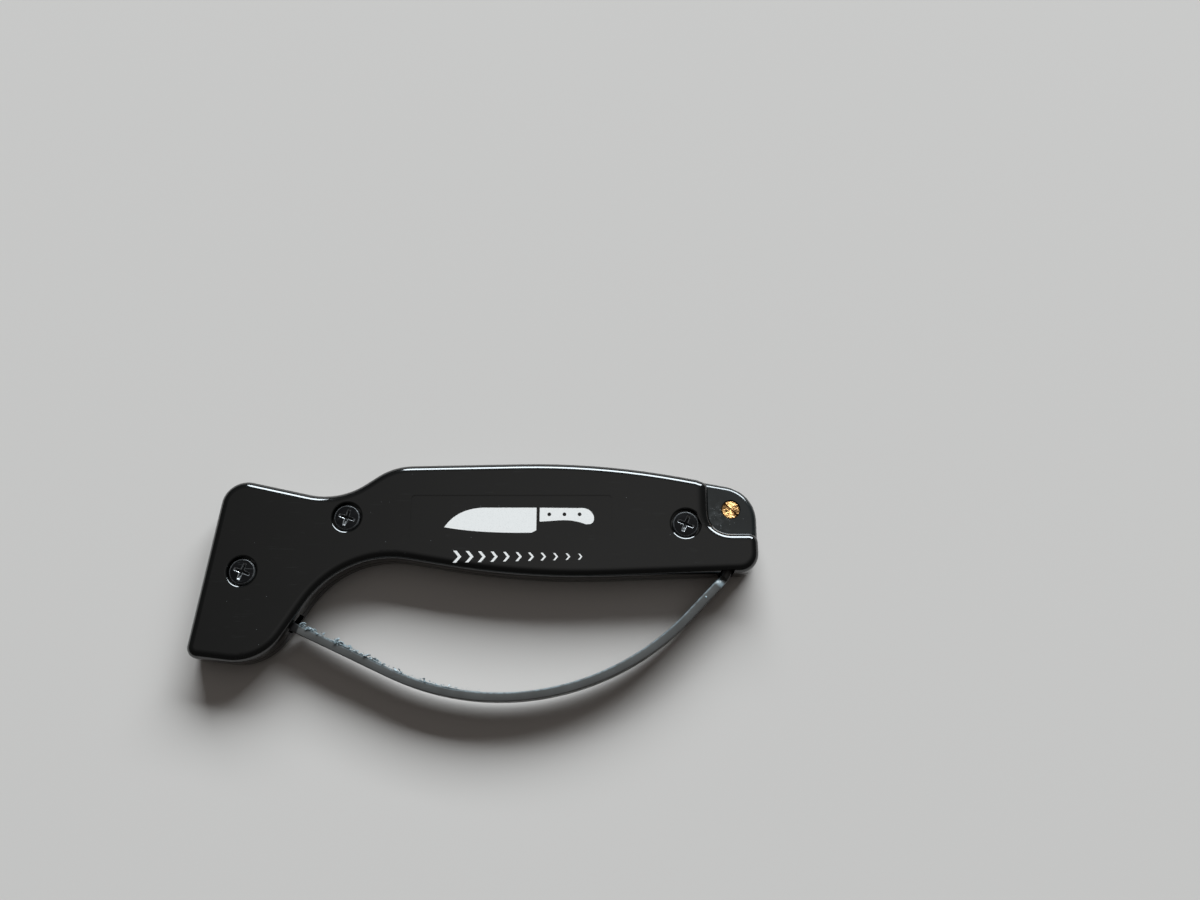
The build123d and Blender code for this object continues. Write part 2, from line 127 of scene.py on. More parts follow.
class CaseScrewSizes(bpy.types.PropertyGroup):
    """Sizes of the case screws and of the rims round their recesses"""

    head_height: length("Head height", "Height of the pan head", 2.2 * MM)
    head_edge: length("Head edge", "Round at the rim of the pan head", 0.62 * MM)
    head_crown: length("Head crown", "Rise of the head's face from rim to middle", 0.1 * MM)
    shank_radius: length("Shank radius", "Outside radius of the thread", 1.45 * MM)
    cross_length: length("Cross length", "Cross recess from tip to tip at the face", 4.3 * MM)
    cross_width: length("Cross width", "Width of one wing below its flared edge", 0.72 * MM)
    cross_depth: length("Cross depth", "Depth of the wings at the middle", 1.2 * MM)
    pit_radius: length("Pit radius", "Radius of the round pit in the middle of the cross", 0.58 * MM)
    pit_depth: length("Pit depth", "Depth of the pit at its point", 1.5 * MM)
    cross_turn: turn("Cross turn", "How far the recesses are turned", -17.0)
    turn_step: turn("Turn step", "Change of that turn from one screw to the next", -2.5)
    thread_pitch: length("Thread pitch", "Pitch of the coarse thread", 1.1 * MM)
    thread_depth: length("Thread depth", "Depth of the coarse thread", 0.3 * MM)
    thread_stop: length("Thread stop", "Plain shank between thread and head", 0.4 * MM)
    flare_width: length("Flare width", "How far the driver has spread the edges of the cross", 0.24 * MM)
    flare_depth: length("Flare depth", "How deep the spread edges go", 0.1 * MM)
    soft_edge: length("Soft edge", "Round on the edges of the recess", 0.05 * MM)
    rim_radius: length("Rim radius", "Radius of the counterbore's rim at the face", 4.1 * MM)
    rim_width: length("Rim width", "Width of the sloping rim of the counterbore", 0.33 * MM)
    rim_drop: length("Rim drop", "How far the sloping rim falls", 0.145 * MM)
    rim_depth: length("Rim depth", "How far the rim's ring goes down", 0.7 * MM)
    rim_foot: length("Rim foot", "How far the foot of the slope stands in from it", 0.03 * MM)


class LipSizes(bpy.types.PropertyGroup):
    """Sizes of the shell's lip over the cutter block"""

    width: length("Width", "How far the lip reaches over the cutter block", 1.0 * MM)
    face_round: length("Face round", "Round along the shell's front edge", 2.2 * MM)
    edge_x: length("Edge place", "Where the shell's straight edge at the block lies", 56.8 * MM)
    straight_low: length("Straight low", "Lower end of that straight edge", 18.2 * MM)
    straight_high: length("Straight high", "Upper end of that straight edge", 23.16 * MM)
    inner_round: length("Inner round", "Radius of the hollow corner below it", 6.6 * MM)
    outer_round: length("Outer round", "Radius of the outer corner above it", 2.4 * MM)
    corner_sweep: turn("Corner sweep", "How far the lip goes on round the outer corner", 66.0)
    hollow_sweep: turn("Hollow sweep", "How far the lip goes on round the hollow corner", 62.0)
    depth: length("Depth", "How far the lip goes down from the face", 2.6 * MM)
    root_sink: length("Root sink", "How far the lip's root lies inside the shell", 0.002 * MM)
    end_sink: length("End sink", "How much deeper its thin ends lie", 0.03 * MM)


class ClampSizes(bpy.types.PropertyGroup):
    """Sizes of the brass clamp screw and of its nut's edges"""

    head_radius: length("Head radius", "Radius of the brass head", 2.3 * MM)
    head_height: length("Head height", "Height of the brass head", 1.1 * MM)
    head_edge: length("Head edge", "Round at the rim of the head", 0.22 * MM)
    head_crown: length("Head crown", "Rise of the head's face from rim to middle", 0.03 * MM)
    shank_radius: length("Shank radius", "Outside radius of the fine thread", 1.25 * MM)
    slot_width: length("Slot width", "Width of the driver slot", 0.62 * MM)
    slot_depth: length("Slot depth", "Depth of the worn driver slot at the middle", 0.14 * MM)
    slot_turn: turn("Slot turn", "Direction of the driver slot", -43.0)
    slot_tilts: FloatVectorProperty(
        name="Slot tilts",
        description="How the battered slot deepens towards its two ends",
        default=(math.radians(9.0), math.radians(-6.0)),
        size=2,
        subtype="EULER",
    )
    thread_pitch: length("Thread pitch", "Pitch of the fine thread", 0.45 * MM)
    thread_depth: length("Thread depth", "Depth of the fine thread", 0.16 * MM)
    thread_stop: length("Thread stop", "Plain shank between thread and head", 0.3 * MM)
    dent_size: spot("Dent size", "Length, width and depth of the dent", (1.5 * MM, 0.4 * MM, 0.22 * MM))
    dent_place: length("Dent place", "Distance of the dent from the middle", 0.75 * MM)
    dent_turn: turn("Dent turn", "Bearing of the dent", 38.0)
    soft_edge: length("Soft edge", "Round on the edges of slot and nut", 0.07 * MM)


class GuardSizes(bpy.types.PropertyGroup):
    """Sizes of the finger guard, its flash and its gate mark"""

    root: spot("Root", "Where the strip's middle line meets the pommel", (-45.24 * MM, -11.48 * MM, 0.0))
    slope: turn("Slope", "How steeply the straight run drops", 24.65)
    run_length: length("Run length", "Straight run from the pommel to the bow", 26.55 * MM)
    bow_radius: length("Bow radius", "Radius of the bow's middle line", 64.91 * MM)
    bow_sweep: turn("Bow sweep", "How far the bow turns", 70.65)
    rise_length: length("Rise length", "Straight rise from the bow to the nose", 11.6 * MM)
    hook_radius: length("Hook radius", "Radius of the hook inside the nose", 6.63 * MM)
    hook_sweep: turn("Hook sweep", "How far the hook turns before it meets the eye", 50.0)
    thickness: length("Thickness", "Thickness of the strip", 2.2 * MM)
    edge_bevel: length("Edge bevel", "Bevel along the strip's edges", 0.25 * MM)
    shoulder_gap: length("Shoulder gap", "From the pommel to the strip's shoulder", 1.95 * MM)
    shoulder_slant: length("Shoulder slant", "Slope of the shoulder's step to the tongue", 0.2 * MM)
    tongue_length: length("Tongue length", "How far the tongue goes into the pommel", 9.5 * MM)
    tongue_width: length("Tongue width", "Width of the tongue from rear to front", 3.4 * MM)
    tail_start: length("Tail start", "Where the strip's front rolls down, before the nose", 2.1 * MM)
    tail_round: length("Tail round", "Radius of that roll", 4.0 * MM)
    tail_slope: turn("Tail slope", "Slope at the end of that roll", 57.0)
    eye_radius: length("Eye radius", "Radius of the eye on the post", 3.1 * MM)
    eye_bore: length("Eye bore", "Radius of the eye's hole", 1.65 * MM)
    flash_start: length("Flash start", "Where the torn flash begins, along the run", 2.1 * MM)
    flash_sweep: turn("Flash sweep", "How far the flash goes on round the bow", 21.0)
    flake_count: IntProperty(name="Flakes", description="Flakes along the edge", default=220, min=2)
    flake_size: length("Flake size", "Length of a large flake", 2.1 * MM)
    bead_radius: length("Bead radius", "Radius of the ragged bead under the flakes", 0.15 * MM)
    stray: length("Stray", "How far flakes may lie off the edge", 0.4 * MM)
    flake_seed: IntProperty(name="Flake seed", description="Fixes how the flakes lie", default=7)
    gate_place: spot("Gate place", "Where the moulding gate was", (56.55 * MM, -4.45 * MM, GUARD_Z))
    gate_radius: length("Gate radius", "Radius of the gate mark", 0.28 * MM)
    gate_height: length("Gate height", "How far the gate mark stands out", 0.11 * MM)


class PrintSizes(bpy.types.PropertyGroup):
    """Places and sizes of the printed marks"""

    ink_depth: length("Ink depth", "Thickness of the ink", 0.03 * MM)
    panel_depth: length("Panel depth", "How far the moulded panel lies under the face", 0.15 * MM)
    knife_place: spot("Knife place", "Where blade and handle meet", (14.5 * MM, 15.1 * MM, 0.0))
    row_place: spot("Row place", "First chevron of the row under the panel", (-6.0 * MM, 5.3 * MM, 0.0))
    row_count: IntProperty(name="Chevrons", description="Chevrons in the row", default=11, min=2)
    row_pitch: length("Row pitch", "Distance from one chevron to the next", 3.1 * MM)
    row_last: share("Last chevron", "Size of the last chevron against the first", 0.5)


class StageSizes(bpy.types.PropertyGroup):
    """Camera, floor and light"""

    camera_place: spot("Camera", "Where the camera stands", (30.42 * MM, -45.46 * MM, 265.85 * MM))
    camera_tilt: turn("Camera tilt", "Tilt from straight down", 17.0)
    lens: amount("Lens", "Focal length", 31.5, "CAMERA")
    floor: tint("Floor", "Pale floor", (0.62, 0.568, 0.536))
    floor_size: length("Floor size", "Side of the floor", 30.0)
    window_distance: length("Window distance", "From the handle to the large soft light", 7.2)
    window_width: length("Window width", "Width of the large soft light", 8.48)
    window_height: length("Window height", "Height of the large soft light", 3.8)
    window_sill: length("Window sill", "Lower edge of the large soft light", 2.2)
    window_turn: turn("Window turn", "Bearing of the soft light, from behind to the right", 13.0)
    window_power: amount("Window power", "Power of the large soft light", 1840.0, "POWER")
    window_tint: tint("Window tint", "Cool daylight", (0.85, 0.945, 1.0))
    sky_tint: tint("Sky tint", "Colour of the sky", (1.0, 0.985, 0.96))
    sky_rim: amount("Sky rim", "Brightness of the sky at the horizon", 0.052)
    sky_top: amount("Sky top", "Brightness that the high patch of sky adds", 0.278)
    sky_patch: FloatVectorProperty(
        name="Sky patch",
        description="Direction of the high patch",
        default=(0.087, 0.2, 0.976),
        subtype="DIRECTION",
    )
    sky_fall: amount("Sky fall", "How fast the patch darkens off its middle", 9.0)


class SharpenerSettings(bpy.types.PropertyGroup):
    """All settings of the sharpener"""

    finish: PointerProperty(type=SharpenerFinish)
    screws: PointerProperty(type=CaseScrewSizes)
    lip: PointerProperty(type=LipSizes)
    clamp: PointerProperty(type=ClampSizes)
    guard: PointerProperty(type=GuardSizes)
    print: PointerProperty(type=PrintSizes)
    stage: PointerProperty(type=StageSizes)


# Meshes


def new_piece(name, mesh):
    """An object at the origin that shows a mesh."""
    piece = bpy.data.objects.new(name, mesh)
    bpy.context.scene.collection.objects.link(piece)
    return piece


def shape_from(name, build):
    """A piece whose mesh is made by a function on an empty bmesh."""
    shape = bmesh.new()
    build(shape)
    mesh = bpy.data.meshes.new(name)
    shape.to_mesh(mesh)
    shape.free()
    return new_piece(name, mesh)


def settle(piece):
    """Turns a piece's modifiers into plain mesh and takes them off."""
    graph = bpy.context.evaluated_depsgraph_get()
    mesh = bpy.data.meshes.new_from_object(piece.evaluated_get(graph), depsgraph=graph)
    piece.modifiers.clear()
    piece.data = mesh
    return piece


def smooth(piece, degrees):
    """Smooth shading, broken at edges sharper than an angle."""
    piece.data.shade_smooth()
    piece.data.set_sharp_from_angle(angle=math.radians(degrees))
    return piece


def drop(piece):
    """Takes a helper object out of the scene."""
    bpy.data.objects.remove(piece)


def carve(piece, cutter):
    """Cuts one solid out of another and drops the cutter."""
    cut = piece.modifiers.new("cut", "BOOLEAN")
    cut.operation = "DIFFERENCE"
    cut.solver = "EXACT"
    cut.object = cutter
    settle(piece)
    drop(cutter)
    return piece


def weld(piece):
    """Joins points that lie on each other and takes out faces without area."""
    shape = bmesh.new()
    shape.from_mesh(piece.data)
    bmesh.ops.remove_doubles(shape, verts=shape.verts, dist=WELD)
    bmesh.ops.dissolve_degenerate(shape, edges=shape.edges, dist=WELD)
    shape.to_mesh(piece.data)
    shape.free()


def evened(piece):
    """Keeps the normals of large flats true beside their soft edges."""
    even = piece.modifiers.new("even normals", "WEIGHTED_NORMAL")
    even.keep_sharp = True
    return settle(piece)


def soften(piece, width, degrees=35.0):
    """Rounds the sharp edges and evens the normals of the flats beside them."""
    bevel = piece.modifiers.new("soft edges", "BEVEL")
    bevel.width = width
    bevel.segments = 2
    bevel.limit_method = "ANGLE"
    bevel.angle_limit = math.radians(degrees)
    settle(piece)
    weld(piece)
    return evened(smooth(piece, degrees + 15.0))


def merged_copy(node, name):
    """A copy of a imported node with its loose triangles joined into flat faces."""

    def build(shape):
        shape.from_mesh(frame["nodes"][node].data)
        bmesh.ops.remove_doubles(shape, verts=shape.verts, dist=1e-6)
        bmesh.ops.dissolve_limit(shape, verts=shape.verts, edges=shape.edges, angle_limit=math.radians(1.0))

    return shape_from(name, build)


def pointing(angle):
    """A direction in the XY plane."""
    return Vector((math.cos(angle), math.sin(angle)))


def shares(count):
    """Even steps from 0 to 1."""
    return [step / count for step in range(count + 1)]


def loft(shape, rings, joined=False):
    """Faces from each ring of points to the next, with caps, or with the last ring joined to the first."""
    count = len(rings[0])
    following = rings[1:] + rings[:1] if joined else rings[1:]
    for below, above in zip(rings, following):
        for step in range(count):
            after = (step + 1) % count
            shape.faces.new((below[step], below[after], above[after], above[step]))
    if not joined:
        shape.faces.new(reversed(rings[0]))
        shape.faces.new(rings[-1])


def lathe(name, rows, segments, thread=(0.0, 0.0, 1.0, 0.0)):
    """A solid turned about Z from (radius, height) rows, grooved for a (low, high, pitch, depth) thread."""
    low, high, pitch, depth = thread

    def build(shape):
        rings = []
        for radius, height in rows:
            ring = []
            for step in range(segments):
                angle = 2 * math.pi * step / segments
                reach = radius
                if low < height < high:
                    reach -= depth * (0.5 - 0.5 * math.cos(2 * math.pi * height / pitch - angle))
                ring.append(shape.verts.new((reach * math.cos(angle), reach * math.sin(angle), height)))
            rings.append(ring)
        loft(shape, rings)

    return shape_from(name, build)


def add_hoop(shape, loop, segments, middle=(0.0, 0.0)):
    """Adds a ring about an upright axis, turned from a closed loop of (radius, height) points."""
    x, y = middle[0], middle[1]
    rings = []
    for step in range(segments):
        angle = 2 * math.pi * step / segments
        way = (math.cos(angle), math.sin(angle))
        rings.append([shape.verts.new((x + r * way[0], y + r * way[1], z)) for r, z in loop])
    loft(shape, rings, joined=True)
    bmesh.ops.recalc_face_normals(shape, faces=shape.faces)


def screw_points(name):
    """A piece with one point on the axis of each case screw."""

    def build(shape):
        for node in CASE_SCREWS:
            low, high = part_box(node)
            shape.verts.new(((low.x + high.x) / 2, (low.y + high.y) / 2, 0.0))

    return shape_from(name, build)


def guard_line(sizes):
    """Places, headings and front drops along the guard's middle line, from its shoulder to the eye."""
    heading = -sizes.slope
    run_way = pointing(heading)
    place = Vector((sizes.root[0], sizes.root[1])) + sizes.shoulder_gap * run_way
    line = [(place.copy(), heading, 0.0)]
    rolled = 0.0
    stretches = (
        (sizes.run_length - sizes.shoulder_gap, 0.0, 6, False),
        (sizes.bow_radius * sizes.bow_sweep, sizes.bow_sweep, 72, False),
        (sizes.rise_length - sizes.tail_start, 0.0, 4, False),
        (sizes.tail_start, 0.0, 14, True),
        (sizes.hook_radius * sizes.hook_sweep, sizes.hook_sweep, 24, True),
    )
    for reach, sweep, count, rolls in stretches:
        step_turn = sweep / count
        chord = 2 * reach / sweep * math.sin(step_turn / 2) if sweep else reach / count
        for _ in range(count):
            place += chord * pointing(heading + step_turn / 2)
            heading += step_turn
            rolled += reach / count if rolls else 0.0
            slope = min(sizes.tail_slope, math.asin(min(1.0, rolled / sizes.tail_round)))
            line.append((place.copy(), heading, sizes.tail_round * (1 - math.cos(slope))))
    return line


def swept_guard(name, sizes, low, high):
    """The guard as one strip between two heights, with a tongue at one end and an eye at the other."""
    line = guard_line(sizes)
    start, heading, _ = line[0]
    run_way = pointing(heading)
    tongue = ((low + high - sizes.tongue_width) / 2, (low + high + sizes.tongue_width) / 2)
    tip = start - run_way * (sizes.shoulder_gap + sizes.tongue_length)
    stations = [(tip, heading, *tongue), (start - sizes.shoulder_slant * run_way, heading, *tongue)]
    stations += [(place, way, low, high - fall) for place, way, fall in line]
    half, edge = sizes.thickness / 2, sizes.edge_bevel

    def build(shape):
        worn = shape.verts.layers.float.new("worn")
        rings = []
        for place, way, under, over in stations:
            across = Vector((-math.sin(way), math.cos(way)))
            outline = [(edge - half, under), (half - edge, under), (half, under + edge)]
            outline += [(half, over - edge), (half - edge, over), (edge - half, over)]
            outline += [(-half, over - edge), (-half, under + edge)]
            rings.append([shape.verts.new((*(place + side * across), height)) for side, height in outline])
        # Marks the inner top edge for the pale wear that also paints part of its highlight.
        for ring in rings[2:]:
            ring[3][worn] = ring[4][worn] = 1.0
        loft(shape, rings)
        top = high - line[-1][2]
        bore, eye = sizes.eye_bore, sizes.eye_radius
        add_hoop(shape, ((bore, low), (eye, low), (eye, top), (bore, top)), 48, GUARD_POST)

    return shape_from(name, build)


def threaded_rows(radius, low, high, pitch):
    """Rows for a threaded shank, eight to a turn of the thread, with a small lead at the tip."""
    count = max(2, round(8 * (high - low) / pitch))
    shank = [(radius, low + (high - low) * step / count) for step in range(1, count + 1)]
    return [(0.7 * radius, low)] + shank


def pan_rows(radius, seat, top, edge, crown):
    """Rows for a screw head with an upright rim, a rounded edge and a slightly domed face."""
    rim_top = top - crown
    rows = [(radius, seat)]
    for part in shares(8):
        angle = part * math.pi / 2
        rows.append((radius - edge + edge * math.cos(angle), rim_top - edge + edge * math.sin(angle)))
    flat = radius - edge
    for step in range(1, 8):
        part = 1 - step / 8
        rows.append((flat * part, rim_top + crown * (1 - part * part)))
    return rows


def turned_screw(name, sizes, radius, low, high, segments):
    """A threaded shank with a pan head, from a low to a high height."""
    seat = high - sizes.head_height
    pitch = sizes.thread_pitch
    rows = threaded_rows(sizes.shank_radius, low, seat, pitch)
    rows += pan_rows(radius, seat, high, sizes.head_edge, sizes.head_crown)
    return lathe(name, rows, segments, (low + pitch, seat - sizes.thread_stop, pitch, sizes.thread_depth))


def stacked(name, levels):
    """A block through rectangles one above the other, from (length, width, height) levels."""

    def build(shape):
        rings = []
        for long, wide, height in levels:
            corners = ((-long, -wide), (long, -wide), (long, wide), (-long, wide))
            rings.append([shape.verts.new((x / 2, y / 2, height)) for x, y in corners])
        loft(shape, rings)

    return shape_from(name, build)


def bend(start, pull, end, steps=14):
    """Points on a smooth bend from start to end, drawn towards a pull point, without the end."""
    start, pull, end = Vector(start), Vector(pull), Vector(end)
    parts = [step / steps for step in range(steps)]
    return [(1 - t) ** 2 * start + 2 * t * (1 - t) * pull + t * t * end for t in parts]


def circle(middle, radius, steps=28):
    """Points round a circle."""
    angles = [2 * math.pi * step / steps for step in range(steps)]
    return [Vector((middle[0] + radius * math.cos(a), middle[1] + radius * math.sin(a))) for a in angles]


def flat_ink(name, outlines, depth):
    """A flat print of closed outlines in millimetres, where an outline inside another is a hole."""
    curve = bpy.data.curves.new(name, "CURVE")
    curve.dimensions = "2D"
    curve.fill_mode = "BOTH"
    curve.extrude = depth / 2
    for outline in outlines:
        spline = curve.splines.new("POLY")
        spline.points.add(len(outline) - 1)
        for point, corner in zip(spline.points, outline):
            point.co = (corner[0] * MM, corner[1] * MM, 0.0, 1.0)
        spline.use_cyclic_u = True
    drawn = new_piece(name + "_drawn", curve)
    graph = bpy.context.evaluated_depsgraph_get()
    mesh = bpy.data.meshes.new_from_object(drawn.evaluated_get(graph), depsgraph=graph)
    drop(drawn)
    return new_piece(name, mesh)


# Node trees


def put(tree, kind, inputs=None, **options):
    """Adds one node, sets its options, and sets or links its inputs."""
    node = tree.nodes.new(kind)
    for key, value in options.items():
        setattr(node, key, value)
    for key, value in (inputs or {}).items():
        if isinstance(value, bpy.types.NodeSocket):
            tree.links.new(value, node.inputs[key])
        else:
            node.inputs[key].default_value = value
    return node


def work_out(tree, operation, first, second):
    """The result of one operation on two values."""
    return put(tree, "ShaderNodeMath", {0: first, 1: second}, operation=operation).outputs[0]


def times(tree, first, second):
    """The product of two values."""
    return work_out(tree, "MULTIPLY", first, second)


def plus(tree, first, second):
    """The sum of two values."""
    return work_out(tree, "ADD", first, second)


def larger(tree, first, second):
    """The larger of two values."""
    return work_out(tree, "MAXIMUM", first, second)


def spread(tree, value, low, high, to_low=0.0, to_high=1.0):
    """A value moved smoothly from one range into another."""
    limits = {"Value": value, "From Min": low, "From Max": high, "To Min": to_low, "To Max": to_high}
    return put(tree, "ShaderNodeMapRange", limits, interpolation_type="SMOOTHSTEP").outputs["Result"]


def noise(tree, place, scale, detail=2.0):
    """A cloud of values about a half."""
    cloud = {"Vector": place, "Scale": scale, "Detail": detail}
    return put(tree, "ShaderNodeTexNoise", cloud).outputs["Fac"]


def tinted(tree, factor, first, second):
    """A colour between two colours."""
    mix = put(tree, "ShaderNodeMix", {0: factor}, data_type="RGBA")
    for index, value in ((6, first), (7, second)):
        if isinstance(value, bpy.types.NodeSocket):
            tree.links.new(value, mix.inputs[index])
        else:
            mix.inputs[index].default_value = (*value, 1.0)
    return mix.outputs[2]


def new_tree(name, kind, inputs, outputs):
    """An empty node group with named sockets, and its input and output nodes."""
    tree = bpy.data.node_groups.new(name, kind)
    for label, socket in inputs.items():
        tree.interface.new_socket(label, in_out="INPUT", socket_type=socket)
    for label, socket in outputs.items():
        tree.interface.new_socket(label, in_out="OUTPUT", socket_type=socket)
    return tree, tree.nodes.new("NodeGroupInput").outputs, tree.nodes.new("NodeGroupOutput").inputs


def fine_scratches():
    """Thin straight scuffs in three directions, gathered in patches."""
    sockets = {"Place": "NodeSocketVector", "Scale": "NodeSocketFloat", "Amount": "NodeSocketFloat"}
    tree, given, result = new_tree("fine_scratches", "ShaderNodeTree", sockets, {"Mask": "NodeSocketFloat"})
    strongest = None
    for degrees in (24.0, 78.0, 151.0):
        angles = (0, 0, math.radians(degrees))
        stretch = {"Vector": given["Place"], "Rotation": angles, "Scale": (0.03, 1, 1)}
        turned = put(tree, "ShaderNodeMapping", stretch).outputs[0]
        lines = spread(tree, noise(tree, turned, given["Scale"], 1.0), 0.69, 0.75)
        strongest = lines if strongest is None else larger(tree, strongest, lines)
    broad = times(tree, given["Scale"], 0.06)
    patches = spread(tree, noise(tree, given["Place"], broad), 0.5, 0.62)
    mask = times(tree, times(tree, strongest, patches), given["Amount"])
    tree.links.new(mask, result["Mask"])
    return tree


def dust_specks():
    """Small round specks of uneven size, thinned out to a share of the places."""
    sockets = {"Place": "NodeSocketVector", "Scale": "NodeSocketFloat", "Amount": "NodeSocketFloat"}
    tree, given, result = new_tree("dust_specks", "ShaderNodeTree", sockets, {"Mask": "NodeSocketFloat"})
    cells = put(tree, "ShaderNodeTexVoronoi", {"Vector": given["Place"], "Scale": given["Scale"]})
    near = spread(tree, cells.outputs["Distance"], 0.12, 0.3, 1.0, 0.0)
    chance = put(tree, "ShaderNodeSeparateColor", {"Color": cells.outputs["Color"]}).outputs["Red"]
    kept = work_out(tree, "LESS_THAN", chance, given["Amount"])
    tree.links.new(times(tree, near, kept), result["Mask"])
    return tree


def moulded_skin():
    """The faint waviness of moulded plastic, as a height and as an uneven value."""
    sockets = {"Place": "NodeSocketVector", "Scale": "NodeSocketFloat"}
    results = {"Height": "NodeSocketFloat", "Uneven": "NodeSocketFloat"}
    tree, given, result = new_tree("moulded_skin", "ShaderNodeTree", sockets, results)
    tree.links.new(noise(tree, given["Place"], given["Scale"], 3.0), result["Height"])
    broad = times(tree, given["Scale"], 0.12)
    tree.links.new(noise(tree, given["Place"], broad, 4.0), result["Uneven"])
    return tree


def new_material(name, constants):
    """A material with one Principled shader, its plain values, and Object coordinates to work from."""
    material = bpy.data.materials.new(name)
    material.use_nodes = True
    tree = material.node_tree
    shader = tree.nodes["Principled BSDF"]
    for label, value in constants.items():
        shader.inputs[label].default_value = value
    place = tree.nodes.new("ShaderNodeTexCoord").outputs["Object"]
    return material, tree, shader, place


def effect(tree, build, place, **values):
    """One of the shared effects, built once and placed in a material with its own values."""
    group = bpy.data.node_groups.get(build.__name__) or build()
    return put(tree, "ShaderNodeGroup", {"Place": place, **values}, node_tree=group).outputs


def bumped(tree, shader, height, distance):
    """A height in the surface's normal, as deep as a distance in metres."""
    bump = put(tree, "ShaderNodeBump", {"Height": height, "Distance": distance})
    tree.links.new(bump.outputs["Normal"], shader.inputs["Normal"])


def feed(tree, shader, **sockets):
    """Links values that change over the surface to the shader's sockets."""
    for label, value in sockets.items():
        tree.links.new(value, shader.inputs[label.replace("_", " ")])


def moulded_plastic(name, colour, dust, roughness, skin, dust_share, scratch_share, bump, level=0.5):
    """Moulded plastic with faint waviness, scuffs and a few specks of dust. Made once for each name."""
    made = bpy.data.materials.get(name)
    if made:
        return made
    material, tree, shader, place = new_material(name, {"IOR": 1.58, "Specular IOR Level": level})
    wavy = effect(tree, moulded_skin, place, Scale=skin)
    scuffs = effect(tree, fine_scratches, place, Scale=3200.0, Amount=scratch_share)["Mask"]
    specks = effect(tree, dust_specks, place, Scale=2400.0, Amount=dust_share)["Mask"]
    toned = tinted(tree, wavy["Uneven"], [0.82 * c for c in colour], [1.18 * c for c in colour])
    scuffed = tinted(tree, times(tree, scuffs, 0.06), toned, dust)
    dusted = tinted(tree, times(tree, specks, 0.25), scuffed, dust)
    uneven = spread(tree, wavy["Uneven"], 0.3, 0.7, 0.8 * roughness, 1.25 * roughness)
    rough = plus(tree, uneven, times(tree, specks, 0.4))
    rough = plus(tree, rough, times(tree, scuffs, 0.22))
    feed(tree, shader, Base_Color=dusted, Roughness=rough)
    height = work_out(tree, "SUBTRACT", wavy["Height"], times(tree, scuffs, 0.6))
    bumped(tree, shader, height, bump)
    return material


def near_spot(tree, place, spot_mm, reach_mm):
    """1 at a point, falling to 0 at a reach from it."""
    middle = [v * MM for v in spot_mm]
    away = put(tree, "ShaderNodeVectorMath", {0: place, 1: middle}, operation="DISTANCE").outputs["Value"]
    return spread(tree, away, 0.25 * reach_mm * MM, reach_mm * MM, 1.0, 0.0)


def shell_plastic(finish):
    """Polished black plastic of the shells, their recess rims and the lip."""
    return moulded_plastic(
        "gloss_black_shell",
        finish.shell,
        finish.dust,
        roughness=finish.shell_gloss,
        skin=700.0,
        dust_share=0.0015,
        scratch_share=0.35,
        bump=1e-6,
        level=0.62,
    )


def block_plastic(finish):
    """Satin blue-black plastic with dust gathered in the corner under the step."""
    gloss = {"IOR": 1.58, "Specular IOR Level": 0.58}
    material, tree, shader, place = new_material("blue_black_block", gloss)
    wavy = effect(tree, moulded_skin, place, Scale=1500.0)
    corner_mm, reach_mm = (58.4, 14.4, 7.5), 8.0
    corner = near_spot(tree, place, corner_mm, reach_mm)
    thick = plus(tree, times(tree, corner, 0.3), 0.006)
    fine = effect(tree, dust_specks, place, Scale=2600.0, Amount=thick)["Mask"]
    coarse = effect(tree, dust_specks, place, Scale=1300.0, Amount=times(tree, corner, 0.12))["Mask"]
    specks = larger(tree, fine, coarse)
    toned = tinted(tree, wavy["Uneven"], [0.75 * c for c in finish.block], [1.25 * c for c in finish.block])
    smear = times(tree, corner, spread(tree, noise(tree, place, 700.0, 4.0), 0.42, 0.7, 0.0, 0.07))
    filmed = tinted(tree, smear, toned, finish.dust)
    feed(tree, shader, Base_Color=tinted(tree, times(tree, specks, 0.26), filmed, finish.dust))
    uneven = spread(tree, wavy["Uneven"], 0.3, 0.7, 0.11, 0.18)
    feed(tree, shader, Roughness=plus(tree, uneven, times(tree, specks, 0.4)))
    bumped(tree, shader, plus(tree, wavy["Height"], specks), 6e-6)
    return material


